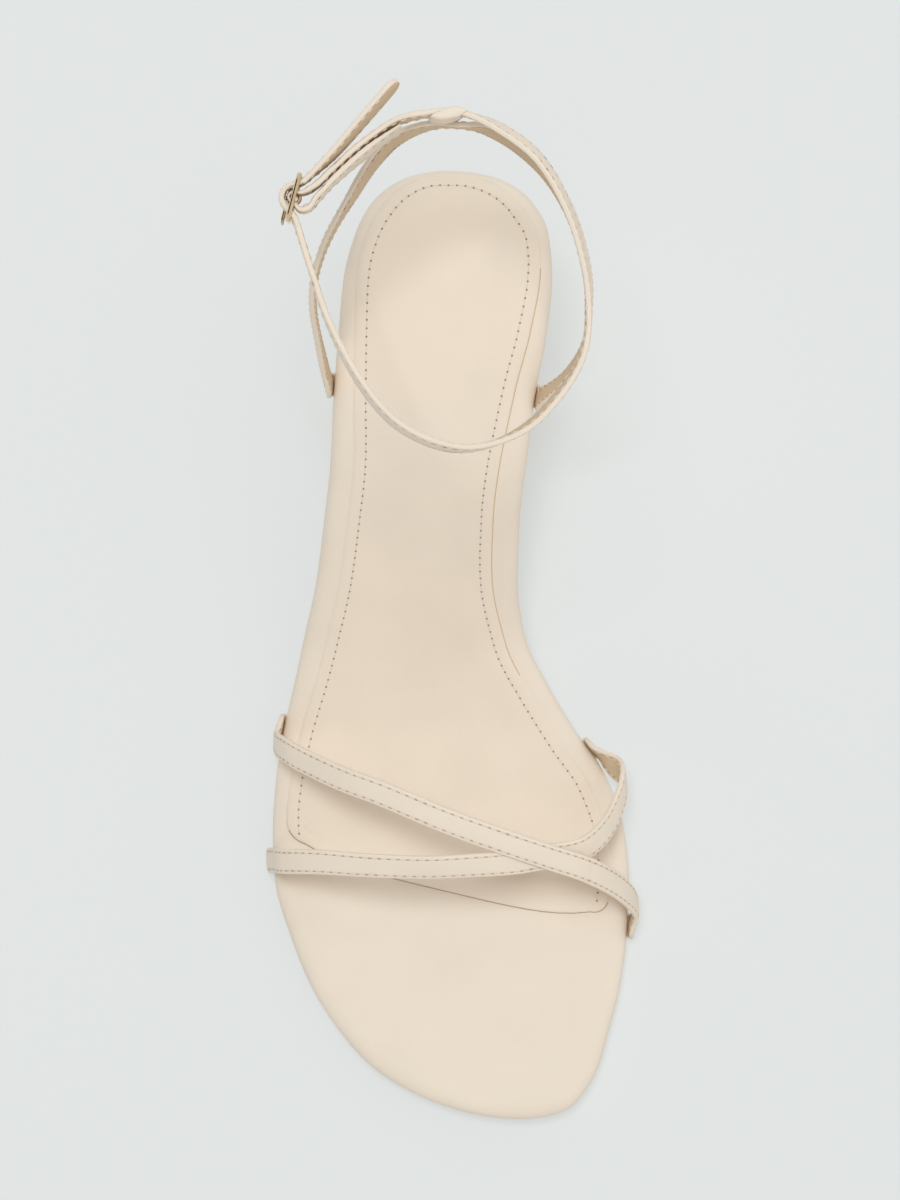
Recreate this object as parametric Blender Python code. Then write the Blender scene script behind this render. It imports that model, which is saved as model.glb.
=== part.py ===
"""Strappy heeled sandal, right shoe: every piece at its real size.

+X is the big-toe side, -Y the toe, +Y the heel and +Z up. The origin is the
middle of the face that the heel tip stands on. Lengths are in metres.
"""

import math
from collections import namedtuple

import bmesh
import bpy
from mathutils import Vector

MM = 0.001

# Sole and heel
PLAN_LENGTH = 239.0 * MM
BALL_WIDTH = 92.0 * MM
HEEL_BACK = 20.0 * MM
SEAT_HEIGHT = 60.0 * MM
TOE_SPRING = 4.6 * MM
CUP_DEPTH = 3.2 * MM
CUP_WIDTH = 18.0 * MM
FOOTBED_THICK = 5.7 * MM
FOOTBED_ROUND = 4.2 * MM
OUTSOLE_THICK = 2.0 * MM
OUTSOLE_INSET = 2.0 * MM
SOCK_THICK = 1.0 * MM
SOCK_INSET = 4.9 * MM
SOCK_ROUND = 0.7 * MM
SOCK_CORNER = 3.0 * MM
SOCK_BOW = 3.2 * MM
HEEL_INSET = 2.2 * MM
HEEL_TOP_LENGTH = 41.0 * MM
HEEL_BASE_WIDTH = 30.0 * MM
HEEL_BASE_LENGTH = 27.0 * MM
TIP_THICK = 5.0 * MM
CLEAR = 0.3 * MM

# Straps
TOE_STRAP_WIDTH = 6.5 * MM
LEG_STRAP_WIDTH = 6.0 * MM
STRAP_THICK = 1.4 * MM
STRAP_EDGE = 0.4 * MM
INSTEP_HEIGHT = 37.0 * MM
LOOP_WIDTH = 66.0 * MM
LOOP_LENGTH = 76.0 * MM
ANKLE_RISE = 77.0 * MM
TUCK_DEPTH = 8.0 * MM
SKIVED = 0.5
BACK_LOOP_WIDTH = 6.5 * MM
BACK_LOOP_THICK = 0.8 * MM
BACK_LOOP_SLACK = 0.45 * MM

# Buckle
WIRE = 1.1 * MM
PRONG_WIRE = 0.9 * MM
BAR_GAP = 5.2 * MM
FRAME_ROOM = 0.5 * MM
FRAME_CORNER = 1.6 * MM
FRAME_TURN = 14.8
EYE_START = -215.0

# How finely the shapes are divided
SOLE_ROWS = 52
SOLE_COLUMNS = 8
OUTSOLE_COLUMNS = 4
EDGE_STEPS = 6
HEEL_ROWS = 10
HEEL_COLUMNS = 4
ROUND_SIDES = 10
CORNER_STEPS = 4
EYE_STEPS = 12
SPAN_STEPS = 2

# Outline of the sole: along is a share of PLAN_LENGTH from the heel's back,
# the two half widths are shares of BALL_WIDTH from the heel's middle line.
Outline = namedtuple("Outline", "along lateral medial")
SOLE_OUTLINE = [
    Outline(0.000, 0.000, 0.000),
    Outline(0.010, 0.126, 0.150),
    Outline(0.035, 0.206, 0.233),
    Outline(0.065, 0.246, 0.271),
    Outline(0.110, 0.277, 0.281),
    Outline(0.170, 0.292, 0.265),
    Outline(0.230, 0.305, 0.236),
    Outline(0.295, 0.315, 0.215),
    Outline(0.355, 0.335, 0.198),
    Outline(0.420, 0.361, 0.194),
    Outline(0.480, 0.398, 0.217),
    Outline(0.530, 0.428, 0.279),
    Outline(0.580, 0.459, 0.357),
    Outline(0.630, 0.480, 0.445),
    Outline(0.690, 0.491, 0.498),
    Outline(0.745, 0.484, 0.511),
    Outline(0.800, 0.444, 0.505),
    Outline(0.860, 0.380, 0.484),
    Outline(0.910, 0.295, 0.450),
    Outline(0.945, 0.210, 0.423),
    Outline(0.970, 0.108, 0.387),
    Outline(0.990, -0.025, 0.335),
    Outline(1.000, -0.205, 0.205),
]

# Side view of the footbed's top: rise is a share of the height from the
# forefoot to the seat, spring of TOE_SPRING, and dish of CUP_DEPTH.
Profile = namedtuple("Profile", "along rise spring dish")
SOLE_PROFILE = [
    Profile(0.000, 1.000, 0.00, 1.00),
    Profile(0.050, 0.977, 0.00, 1.00),
    Profile(0.105, 0.950, 0.00, 0.85),
    Profile(0.167, 0.915, 0.00, 0.70),
    Profile(0.230, 0.865, 0.00, 0.60),
    Profile(0.260, 0.830, 0.00, 0.55),
    Profile(0.293, 0.769, 0.00, 0.50),
    Profile(0.335, 0.660, 0.00, 0.45),
    Profile(0.418, 0.400, 0.00, 0.40),
    Profile(0.460, 0.271, 0.00, 0.35),
    Profile(0.490, 0.186, 0.00, 0.30),
    Profile(0.520, 0.118, 0.00, 0.28),
    Profile(0.550, 0.066, 0.00, 0.25),
    Profile(0.585, 0.030, 0.00, 0.25),
    Profile(0.630, 0.008, 0.00, 0.20),
    Profile(0.680, 0.000, 0.00, 0.20),
    Profile(0.780, 0.000, 0.00, 0.20),
    Profile(0.840, 0.000, 0.07, 0.20),
    Profile(0.900, 0.000, 0.27, 0.20),
    Profile(0.955, 0.000, 0.60, 0.20),
    Profile(1.000, 0.000, 1.00, 0.20),
]

# Where each piece of the sole starts and ends, as shares of PLAN_LENGTH.
SOCK_END_LATERAL = 0.700
SOCK_END_MEDIAL = 0.783

# Heel block: drop is the share of its height below the seat, taper the share
# of the way from the seat's outline to the base's.
Level = namedtuple("Level", "drop taper")
HEEL_SHAPE = [
    Level(0.00, 0.00),
    Level(0.08, 0.28),
    Level(0.20, 0.52),
    Level(0.38, 0.74),
    Level(0.62, 0.90),
    Level(1.00, 1.00),
]

# Toe straps: across is a share of BALL_WIDTH, along of PLAN_LENGTH, height of
# INSTEP_HEIGHT above the forefoot, tilt turns the outer face from the outer
# side (0) over the top (90) to the inner side (180), and lean towards the toe.
ToeRow = namedtuple("ToeRow", "across along height tilt lean")
OVER_STRAP = [
    ToeRow(-0.478, 0.592, 0.108, 5, 0),
    ToeRow(-0.449, 0.600, 0.378, 35, 4),
    ToeRow(-0.385, 0.612, 0.595, 55, 8),
    ToeRow(-0.278, 0.629, 0.811, 70, 12),
    ToeRow(-0.187, 0.641, 0.919, 79, 14),
    ToeRow(-0.009, 0.669, 1.000, 90, 14),
    ToeRow(0.153, 0.692, 0.973, 99, 14),
    ToeRow(0.271, 0.708, 0.892, 107, 15),
    ToeRow(0.393, 0.726, 0.676, 124, 12),
    ToeRow(0.484, 0.749, 0.351, 150, 6),
    ToeRow(0.528, 0.772, 0.081, 178, 0),
]
OVER_ENDS = (0.578, 0.793)
UNDER_STRAP = [
    ToeRow(-0.486, 0.720, 0.108, 5, 0),
    ToeRow(-0.453, 0.718, 0.430, 38, 6),
    ToeRow(-0.351, 0.716, 0.676, 58, 14),
    ToeRow(-0.210, 0.718, 0.838, 74, 22),
    ToeRow(-0.052, 0.719, 0.919, 86, 25),
    ToeRow(0.062, 0.717, 0.927, 92, 22),
    ToeRow(0.184, 0.714, 0.892, 100, 16),
    ToeRow(0.266, 0.709, 0.851, 107, 14),
    ToeRow(0.368, 0.703, 0.676, 124, 12),
    ToeRow(0.435, 0.684, 0.486, 140, 8),
    ToeRow(0.478, 0.655, 0.297, 155, 4),
    ToeRow(0.491, 0.631, 0.162, 172, 0),
    ToeRow(0.464, 0.618, 0.020, 205, 0),
]
UNDER_ENDS = (0.722, 0.603)

# Heel sling and ankle strap: across is a share of LOOP_WIDTH, along of
# LOOP_LENGTH from the heel's back, rise of ANKLE_RISE above the seat, and tilt
# lifts the outer face.
LegRow = namedtuple("LegRow", "across along rise tilt")
SLING = [
    LegRow(-0.458, 0.622, 0.026, -20),
    LegRow(-0.478, 0.520, 0.208, -6),
    LegRow(-0.483, 0.445, 0.338, -3),
    LegRow(-0.466, 0.362, 0.455, -3),
    LegRow(-0.415, 0.264, 0.571, -6),
    LegRow(-0.340, 0.168, 0.675, -14),
    LegRow(-0.262, 0.071, 0.753, -22),
    LegRow(-0.172, -0.004, 0.805, -24),
    LegRow(-0.059, -0.038, 0.844, -6),
    LegRow(0.045, -0.037, 0.850, 3),
    LegRow(0.134, -0.030, 0.831, -15),
    LegRow(0.256, 0.024, 0.779, -21),
    LegRow(0.363, 0.109, 0.714, -20),
    LegRow(0.443, 0.224, 0.623, -14),
    LegRow(0.498, 0.364, 0.494, -6),
    LegRow(0.508, 0.479, 0.364, -4),
    LegRow(0.498, 0.585, 0.208, -8),
    LegRow(0.434, 0.674, 0.052, -24),
]
SLING_ENDS = (0.219, 0.231)
FOLDED_END = [
    LegRow(-0.157, -0.013, 0.974, 9),
    LegRow(-0.273, 0.059, 0.987, 9),
    LegRow(-0.389, 0.148, 1.000, 4),
]
ANKLE_ROUND = [
    LegRow(-0.400, 0.122, 1.000, 0),
    LegRow(-0.290, 0.038, 0.987, -4),
    LegRow(-0.170, -0.033, 0.974, -4),
    LegRow(-0.060, -0.058, 0.961, 0),
    LegRow(0.045, -0.060, 0.961, 2),
    LegRow(0.178, -0.017, 0.961, 21),
    LegRow(0.316, 0.076, 0.961, 22),
    LegRow(0.414, 0.228, 0.974, 15),
    LegRow(0.471, 0.408, 0.987, 6),
    LegRow(0.483, 0.557, 1.000, 2),
    LegRow(0.456, 0.676, 1.013, -5),
    LegRow(0.369, 0.790, 1.026, -14),
    LegRow(0.262, 0.880, 1.039, -12),
    LegRow(0.112, 0.934, 1.039, 2),
    LegRow(-0.023, 0.929, 1.039, 10),
    LegRow(-0.177, 0.861, 1.039, 12),
    LegRow(-0.298, 0.737, 1.039, 10),
    LegRow(-0.400, 0.568, 1.026, 5),
    LegRow(-0.466, 0.396, 1.026, 0),
]
TAIL = [
    LegRow(-0.387, 0.070, 1.026, -10),
    LegRow(-0.296, -0.019, 1.032, -15),
    LegRow(-0.205, -0.109, 1.039, -15),
]
BUCKLE_PLACE = LegRow(-0.519, 0.198, 1.013, 0)

# The tail's tip: how far it goes on, in strap widths, and how wide it is.
TAIL_TIP = [(0.35, 0.80), (0.60, 0.40)]

# A strap end under the footbed: inward is a share of TUCK_DEPTH, stand of the
# room outside the edge, drop of the way down from the edge's middle, and look
# is the way that the outer face looks, from outward (0) to down (-90).
TuckRow = namedtuple("TuckRow", "inward stand drop look thick")
TUCKED = [
    TuckRow(1.00, 0.0, 0.94, -90, SKIVED),
    TuckRow(0.55, 0.0, 0.94, -90, SKIVED),
    TuckRow(0.28, 0.0, 0.93, -88, 0.55),
    TuckRow(0.04, 0.0, 0.80, -62, 0.80),
    TuckRow(0.00, 0.9, 0.45, -25, 1.00),
    TuckRow(0.00, 1.1, -0.25, 0, 1.00),
]

# The folded end at the buckle: along and out are shares of BAR_GAP from the
# front bar, and look is the way that the outer face looks, from along the
# frame (0) to out of it (90).
FoldRow = namedtuple("FoldRow", "along out look thick")
LOOSE_FOLD = [
    FoldRow(1.10, -0.90, 258, 1.0),
    FoldRow(0.80, -0.79, 235, 1.0),
    FoldRow(0.62, -0.60, 205, 1.0),
    FoldRow(0.56, -0.40, 172, 0.9),
    FoldRow(0.64, -0.22, 150, 0.7),
]
FOLD_LEAVES = [
    FoldRow(1.28, -0.28, 5, 0.7),
    FoldRow(1.48, -0.52, 25, 1.0),
    FoldRow(1.80, -0.80, 50, 1.0),
]

Stop = namedtuple("Stop", "place face thick wide")


# Curves and tables

def column(table, name):
    """One named column of a table."""
    return [getattr(row, name) for row in table]


def slopes_of(keys, values):
    """Slopes for a smooth curve that never overshoots its table."""
    spans = [b - a for a, b in zip(keys, keys[1:])]
    rates = [(b - a) / span for a, b, span in zip(values, values[1:], spans)]
    slopes = [rates[0]]
    for before, after in zip(rates, rates[1:]):
        level = before * after <= 0
        slopes.append(0.0 if level else 2 * before * after / (before + after))
    slopes.append(rates[-1])
    return slopes


def hermite(start, end, leave, arrive, share):
    """Cubic between two values with given end slopes."""
    square = share * share
    cube = square * share
    value = start * (2 * cube - 3 * square + 1) + end * (3 * square - 2 * cube)
    return value + leave * (cube - 2 * square + share) + arrive * (cube - square)


def smooth(keys, values, at):
    """Value of a table's smooth curve at one key."""
    at = min(max(at, keys[0]), keys[-1])
    slopes = slopes_of(keys, values)
    index = max(i for i in range(len(keys) - 1) if keys[i] <= at)
    span = keys[index + 1] - keys[index]
    share = (at - keys[index]) / span
    leave = slopes[index] * span
    arrive = slopes[index + 1] * span
    return hermite(values[index], values[index + 1], leave, arrive, share)


def round_key(along):
    """A key in which the round ends of the sole are smooth."""
    return math.acos(1 - 2 * min(max(along, 0.0), 1.0))


def spaced(count, start=0.0, end=1.0):
    """Shares from start to end, packed towards the round ends of the sole."""
    low = round_key(start)
    high = round_key(end)
    keys = [low + (high - low) * i / count for i in range(count + 1)]
    return [(1 - math.cos(key)) / 2 for key in keys]


def through(stops, per_span):
    """Stops along one smooth curve through the given stops."""
    result = []
    for index in range(len(stops) - 1):
        start = stops[index]
        end = stops[index + 1]
        before = stops[max(index - 1, 0)]
        after = stops[min(index + 2, len(stops) - 1)]
        steps = per_span if index < len(stops) - 2 else per_span + 1
        for step in range(steps):
            share = step / per_span
            result.append(between(before, start, end, after, share))
    return result


def between(before, start, end, after, share):
    """One stop between two, with slopes set by the distances to all four."""
    span = (end.place - start.place).length
    ahead = (after.place - end.place).length
    behind = (start.place - before.place).length
    mixed = []
    for field in ("place", "face"):
        a, b, c, d = (getattr(stop, field) for stop in (before, start, end, after))
        leave = (c - a) * (span / (span + behind))
        arrive = (d - b) * (span / (span + ahead))
        mixed.append(hermite(b, c, leave, arrive, share))
    thick = start.thick + (end.thick - start.thick) * share
    wide = start.wide + (end.wide - start.wide) * share
    return Stop(mixed[0], mixed[1].normalized(), thick, wide)


# The last: plan outline and heights

def half_width(along, side):
    """Distance from the middle line to the sole's edge; side is -1 or 1."""
    name = "medial" if side > 0 else "lateral"
    keys = [round_key(row.along) for row in SOLE_OUTLINE]
    return smooth(keys, column(SOLE_OUTLINE, name), round_key(along)) * BALL_WIDTH


def profile(along, name):
    """A column of the side view at one share of the length."""
    return smooth(column(SOLE_PROFILE, "along"), column(SOLE_PROFILE, name), along)


def forefoot_top():
    """Height of the footbed's top where the forefoot lies flat."""
    return OUTSOLE_THICK + CLEAR + FOOTBED_THICK


def top_height(along):
    """Height of the footbed's top along its middle line."""
    rise = (SEAT_HEIGHT - forefoot_top()) * profile(along, "rise")
    return forefoot_top() + rise + TOE_SPRING * profile(along, "spring")


def slope_stretch(along):
    """How much a thickness grows when it is measured straight down."""
    step = 0.004
    low = max(along - step, 0.0)
    high = min(along + step, 1.0)
    fall = (top_height(low) - top_height(high)) / ((high - low) * PLAN_LENGTH)
    return math.sqrt(1 + fall * fall)


def footbed_bottom(along):
    """Height of the footbed's underside."""
    return top_height(along) - FOOTBED_THICK * slope_stretch(along)


def outsole_top(along):
    """Height of the outsole's upper face."""
    return footbed_bottom(along) - CLEAR * slope_stretch(along)


def outsole_bottom(along):
    """Height of the outsole's tread."""
    return outsole_top(along) - OUTSOLE_THICK * slope_stretch(along)


def station(y):
    """Share of the plan length at one place."""
    return min(max((HEEL_BACK - y) / PLAN_LENGTH, 0.0), 1.0)


def edge_point(along, side):
    """Point of the sole's outline in plan."""
    return Vector((side * half_width(along, side), HEEL_BACK - along * PLAN_LENGTH, 0))


def edge_normal(along, side):
    """Outward direction of the outline in plan."""
    step = 0.003
    low = edge_point(max(along - step, 0.0), side)
    high = edge_point(min(along + step, 1.0), side)
    run = (high - low).normalized()
    return Vector((-run.y, run.x, 0)) * side


def inset_point(along, side, inset):
    """Point at a distance inside the outline."""
    if along < 1e-6:
        return Vector((0, HEEL_BACK - inset, 0))
    if along > 1 - 1e-6:
        tip = edge_point(1.0, 1)
        return Vector((tip.x, tip.y + inset, 0))
    return edge_point(along, side) - edge_normal(along, side) * inset


OUTLINE_RING = [edge_point(share, side) for side in (-1, 1) for share in spaced(60)]


def cup(point):
    """Lift of the footbed's top near its edge."""
    flat = Vector((point.x, point.y, 0))
    reach = min((flat - spot).length for spot in OUTLINE_RING)
    share = max(0.0, 1 - reach / CUP_WIDTH)
    depth = CUP_DEPTH * profile(station(point.y), "dish")
    return depth * share * share * (3 - 2 * share)


def on_top(point, lift=0.0):
    """The point on the footbed's top, or a lift above it."""
    height = top_height(station(point.y)) + cup(point) + lift
    return Vector((point.x, point.y, height))


# Mesh building

def plan_row(left, right, columns):
    """Plan points from the outer side to the inner one, or one point."""
    if (right - left).length < 1e-5:
        return [left]
    return [left.lerp(right, i / columns) for i in range(columns + 1)]


def rim(rows):
    """The boundary of a grid of rows, in order."""
    inner = [row[-1] for row in rows[1:-1]]
    outer = [row[0] for row in reversed(rows[1:-1])]
    return list(rows[0]) + inner + list(reversed(rows[-1])) + outer


def fill(bm, rows):
    """Faces between the rows of a grid."""
    for first, second in zip(rows, rows[1:]):
        count = max(len(first), len(second))
        for i in range(count - 1):
            near = first[i:i + 2] if len(first) > 1 else first
            far = second[i:i + 2] if len(second) > 1 else second
            bm.faces.new(list(near) + list(reversed(far)))


def belt(bm, upper, lower):
    """Faces between two closed rings."""
    for i in range(len(upper)):
        j = (i + 1) % len(upper)
        bm.faces.new((upper[i], upper[j], lower[j], lower[i]))


def plate(name, top, rings, bottom):
    """A solid between two grids, with rings round its edge."""
    bm = bmesh.new()
    upper = [[bm.verts.new(p) for p in row] for row in top]
    lower = [[bm.verts.new(p) for p in row] for row in bottom]
    middle = [[bm.verts.new(p) for p in ring] for ring in rings]
    fill(bm, upper)
    fill(bm, lower)
    loops = [rim(upper)] + middle + [rim(lower)]
    for first, second in zip(loops, loops[1:]):
        belt(bm, first, second)
    return finish_mesh(name, bm)


def finish_mesh(name, bm):
    """Turn the faces outward and make the object."""
    bmesh.ops.recalc_face_normals(bm, faces=bm.faces)
    mesh = bpy.data.meshes.new(name)
    bm.to_mesh(mesh)
    bm.free()
    mesh.shade_smooth()
    mesh.set_sharp_from_angle(angle=math.radians(40))
    piece = bpy.data.objects.new(name, mesh)
    bpy.context.scene.collection.objects.link(piece)
    return piece


def sweep(name, frames, section, closed=False):
    """A section swept along frames of (place, across, out)."""
    bm = bmesh.new()
    rings = []
    for place, across, out, scale in frames:
        points = [place + across * (x * scale[0]) + out * (y * scale[1]) for x, y in section]
        rings.append([bm.verts.new(p) for p in points])
    for first, second in zip(rings, rings[1:]):
        belt(bm, first, second)
    if closed:
        belt(bm, rings[-1], rings[0])
    else:
        bm.faces.new(rings[0])
        bm.faces.new(list(reversed(rings[-1])))
    return finish_mesh(name, bm)


def strap_section(width, thick, edge):
    """Flat section with eased edges."""
    half = width / 2
    deep = thick / 2
    corners = ((1, 1), (-1, 1), (-1, -1), (1, -1))
    points = []
    for index, (x, y) in enumerate(corners):
        side = (x * half, y * (deep - edge))
        face = (x * (half - edge), y * deep)
        points += [side, face] if index % 2 == 0 else [face, side]
    return points


def round_section(radius):
    """Round section of a wire."""
    angles = [2 * math.pi * i / ROUND_SIDES for i in range(ROUND_SIDES)]
    return [(radius * math.cos(a), radius * math.sin(a)) for a in angles]


def strap(name, stops, width, grow=0.0):
    """A strap along its stops; grow makes the room that it needs."""
    frames = []
    line = through(stops, SPAN_STEPS)
    for index, stop in enumerate(line):
        before = line[max(index - 1, 0)].place
        after = line[min(index + 1, len(line) - 1)].place
        run = (after - before).normalized()
        out = (stop.face - run * stop.face.dot(run)).normalized()
        wide = (width * stop.wide + 2 * grow) / (width + 2 * grow)
        thick = (STRAP_THICK * stop.thick + 2 * grow) / (STRAP_THICK + 2 * grow)
        frames.append((stop.place, run.cross(out), out, (wide, thick)))
    section = strap_section(width + 2 * grow, STRAP_THICK + 2 * grow, STRAP_EDGE)
    return sweep(name, frames, section)


def wire(name, points, radius, side, closed=False):
    """A round wire along points in one plane; side is square to the plane."""
    frames = []
    last = len(points) - 1
    for index, point in enumerate(points):
        before = points[index - 1] if closed else points[max(index - 1, 0)]
        after = points[(index + 1) % len(points)] if closed else points[min(index + 1, last)]
        out = (after - before).normalized().cross(side)
        frames.append((point, side, out, (1, 1)))
    return sweep(name, frames, round_section(radius), closed)


def use_tool(piece, tool, operation):
    """Cut the piece with a tool, or join the tool to it."""
    change = piece.modifiers.new(tool.name, "BOOLEAN")
    change.operation = operation
    change.solver = "EXACT"
    change.object = tool
    tool.hide_render = True
    tool.display_type = "WIRE"


def paint(piece, name, colour, roughness, metallic=0.0):
    """Give the piece its material, made once."""
    material = bpy.data.materials.get(name)
    if material is None:
        material = bpy.data.materials.new(name)
        material.use_nodes = True
        shader = material.node_tree.nodes["Principled BSDF"]
        shader.inputs["Base Color"].default_value = (*colour, 1.0)
        shader.inputs["Roughness"].default_value = roughness
        shader.inputs["Metallic"].default_value = metallic
    piece.data.materials.append(material)


# Sole

def level_with(height_of):
    """Puts plan points at a height that depends on the place along the sole."""
    return lambda point: Vector((point.x, point.y, height_of(station(point.y))))


def sole_rows(inset, columns, start=0.0, end_lateral=1.0, end_medial=1.0):
    """Rows of plan points across the sole, inside its outline."""
    lateral = spaced(SOLE_ROWS, start, end_lateral)
    medial = spaced(SOLE_ROWS, start, end_medial)
    pairs = zip(lateral, medial)
    return [plan_row(inset_point(a, -1, inset), inset_point(b, 1, inset), columns)
            for a, b in pairs]


def outward(ring):
    """Outward directions in plan at the points of a ring."""
    result = []
    for index, point in enumerate(ring):
        run = ring[(index + 1) % len(ring)] - ring[index - 1]
        result.append(Vector((-run.y, run.x, 0)).normalized())
    return result


def rounded_rings(top, bottom, reach, steps):
    """Rings that round an edge off from the top grid to the bottom one."""
    upper = rim(top)
    lower = rim(bottom)
    sides = outward(upper)
    rings = []
    for step in range(1, steps):
        angle = math.pi / 2 - math.pi * step / steps
        ring = []
        for high, low, side in zip(upper, lower, sides):
            middle = (high + low) / 2
            half = (high - low) / 2
            ring.append(middle + side * (reach * math.cos(angle)) + half * math.sin(angle))
        rings.append(ring)
    return rings


def make_footbed():
    """Board in its cream cover, with a rounded edge all round."""
    plan = sole_rows(FOOTBED_ROUND, SOLE_COLUMNS)
    under = sole_rows(FOOTBED_ROUND, 2)
    top = [[on_top(p) for p in row] for row in plan]
    bottom = [[level_with(footbed_bottom)(p) for p in row] for row in under]
    rings = rounded_rings(top, bottom, FOOTBED_ROUND, EDGE_STEPS)
    return plate("footbed", top, rings, bottom)


def bowed(left, right, bow):
    """A row of plan points that bows towards the toe."""
    row = plan_row(left, right, SOLE_COLUMNS)
    count = len(row) - 1
    return [p + Vector((0, -bow * 4 * i / count * (1 - i / count), 0)) for i, p in enumerate(row)]


def make_sock():
    """Padded sock from the heel to the ball."""
    rows = sole_rows(SOCK_INSET, SOLE_COLUMNS, 0.0, SOCK_END_LATERAL, SOCK_END_MEDIAL)
    front = rows[-1]
    run = (front[-1] - front[0]).normalized()
    rows[-1] = bowed(front[0] + run * SOCK_CORNER, front[-1] - run * SOCK_CORNER, SOCK_BOW)
    top = [[on_top(p, CLEAR + SOCK_THICK) for p in row] for row in rows]
    bottom = [[on_top(p, CLEAR) for p in row] for row in rows]
    rings = rounded_rings(top, bottom, SOCK_ROUND, 3)
    return plate("insole_sock", top, rings, bottom)


def make_outsole():
    """Thin sole from the toe to the heel breast."""
    start = (HEEL_TOP_LENGTH + CLEAR) / PLAN_LENGTH
    rows = sole_rows(OUTSOLE_INSET, OUTSOLE_COLUMNS, start)
    top = [[level_with(outsole_top)(p) for p in row] for row in rows]
    bottom = [[level_with(outsole_bottom)(p) for p in row] for row in rows]
    return plate("outsole", top, [], bottom)


# Heel

def heel_rows():
    """Plan rows of the heel's upper face."""
    shares = spaced(HEEL_ROWS, 0.0, HEEL_TOP_LENGTH / PLAN_LENGTH)
    return [plan_row(inset_point(a, -1, HEEL_INSET), inset_point(a, 1, HEEL_INSET), HEEL_COLUMNS)
            for a in shares]


def heel_place(point, taper):
    """Plan point of the heel between its upper face and its base."""
    back = HEEL_BACK - HEEL_INSET
    front = HEEL_BACK - HEEL_TOP_LENGTH
    widest = max(half_width(row.along, 1) for row in SOLE_OUTLINE[:5]) - HEEL_INSET
    x = point.x / widest * HEEL_BASE_WIDTH / 2
    y = ((point.y - front) / (back - front) - 0.5) * HEEL_BASE_LENGTH
    return Vector((point.x, point.y, 0)).lerp(Vector((x, y, 0)), taper)


def heel_level(rows, level):
    """Rows of the heel block at one level."""
    foot = TIP_THICK + CLEAR
    result = []
    for row in rows:
        heights = [outsole_top(station(p.y)) for p in row]
        places = [heel_place(p, level.taper) for p in row]
        result.append([Vector((p.x, p.y, z + (foot - z) * level.drop))
                       for p, z in zip(places, heights)])
    return result


def make_heel():
    """Slim covered block under the seat."""
    rows = heel_rows()
    levels = [heel_level(rows, level) for level in HEEL_SHAPE]
    return plate("heel", levels[0], [rim(level) for level in levels[1:-1]], levels[-1])


def make_heel_tip():
    """Top piece that stands on the floor."""
    base = [[heel_place(p, 1.0) for p in row] for row in heel_rows()]
    top = [[Vector((p.x, p.y, TIP_THICK)) for p in row] for row in base]
    return plate("heel_tip", top, [], base)


# Straps

def tuck(along, side):
    """Stops of a strap end from under the footbed out round its edge."""
    base = edge_point(along, side)
    out = edge_normal(along, side)
    high = on_top(inset_point(along, side, FOOTBED_ROUND)).z
    low = footbed_bottom(along)
    step = 0.01
    climb = (top_height(along - step) - top_height(along + step)) / (2 * step * PLAN_LENGTH)
    up = Vector((0, -climb, 1)).normalized()
    base.z = (high + low) / 2
    rest = (high - low) / 2 - STRAP_THICK * SKIVED / 2
    stand = CLEAR + STRAP_THICK / 2
    stops = []
    for row in TUCKED:
        place = base + out * (stand * row.stand - TUCK_DEPTH * row.inward) - up * (rest * row.drop)
        look = math.radians(row.look)
        face = out * math.cos(look) + up * math.sin(look)
        stops.append(Stop(place, face, row.thick, 1.0))
    return stops


def toe_stops(rows):
    """Stops of a toe strap over the foot."""
    stops = []
    for row in rows:
        height = forefoot_top() + row.height * INSTEP_HEIGHT
        place = Vector((row.across * BALL_WIDTH, HEEL_BACK - row.along * PLAN_LENGTH, height))
        tilt = math.radians(row.tilt)
        lean = math.tan(math.radians(row.lean)) * math.sin(tilt)
        stops.append(Stop(place, Vector((-math.cos(tilt), -lean, math.sin(tilt))), 1.0, 1.0))
    return stops


def leg_stops(rows):
    """Stops of a strap round the ankle, with its face square to its path."""
    places = [leg_place(row) for row in rows]
    runs = [after - before for before, after in zip(places[:1] + places, places[1:] + places[-1:])]
    return [Stop(place, leg_face(run, row.tilt), 1.0, 1.0)
            for place, run, row in zip(places, runs, rows)]


def leg_place(row):
    """Place of one row of a strap round the ankle."""
    height = SEAT_HEIGHT + row.rise * ANKLE_RISE
    return Vector((row.across * LOOP_WIDTH, HEEL_BACK - row.along * LOOP_LENGTH, height))


def leg_face(run, tilt):
    """Way that the outer face looks where the strap runs a given way."""
    level = Vector((-run.y, run.x, 0)).normalized()
    angle = math.radians(tilt)
    return level * math.cos(angle) + Vector((0, 0, math.sin(angle)))


def make_strap_room(footbed, name, stops, width):
    """Pocket in the footbed for one tucked strap end."""
    tool = strap(name, stops, width, CLEAR)
    use_tool(footbed, tool, "DIFFERENCE")


def whole_strap(ends, stops):
    """A strap with both its ends tucked under the footbed."""
    start = tuck(ends[0], -1)
    finish = tuck(ends[1], 1)
    return start + stops + list(reversed(finish))


def make_toe_straps(footbed):
    """The two toe straps, joined where they cross."""
    width = TOE_STRAP_WIDTH
    over = strap("toe_straps", whole_strap(OVER_ENDS, toe_stops(OVER_STRAP)), width)
    under = strap("toe_strap_under", whole_strap(UNDER_ENDS, toe_stops(UNDER_STRAP)), width)
    use_tool(over, under, "UNION")
    for name, ends in (("over", OVER_ENDS), ("under", UNDER_ENDS)):
        make_strap_room(footbed, name + "_outer_room", tuck(ends[0], -1), width)
        make_strap_room(footbed, name + "_inner_room", tuck(ends[1], 1), width)
    return over


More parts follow.
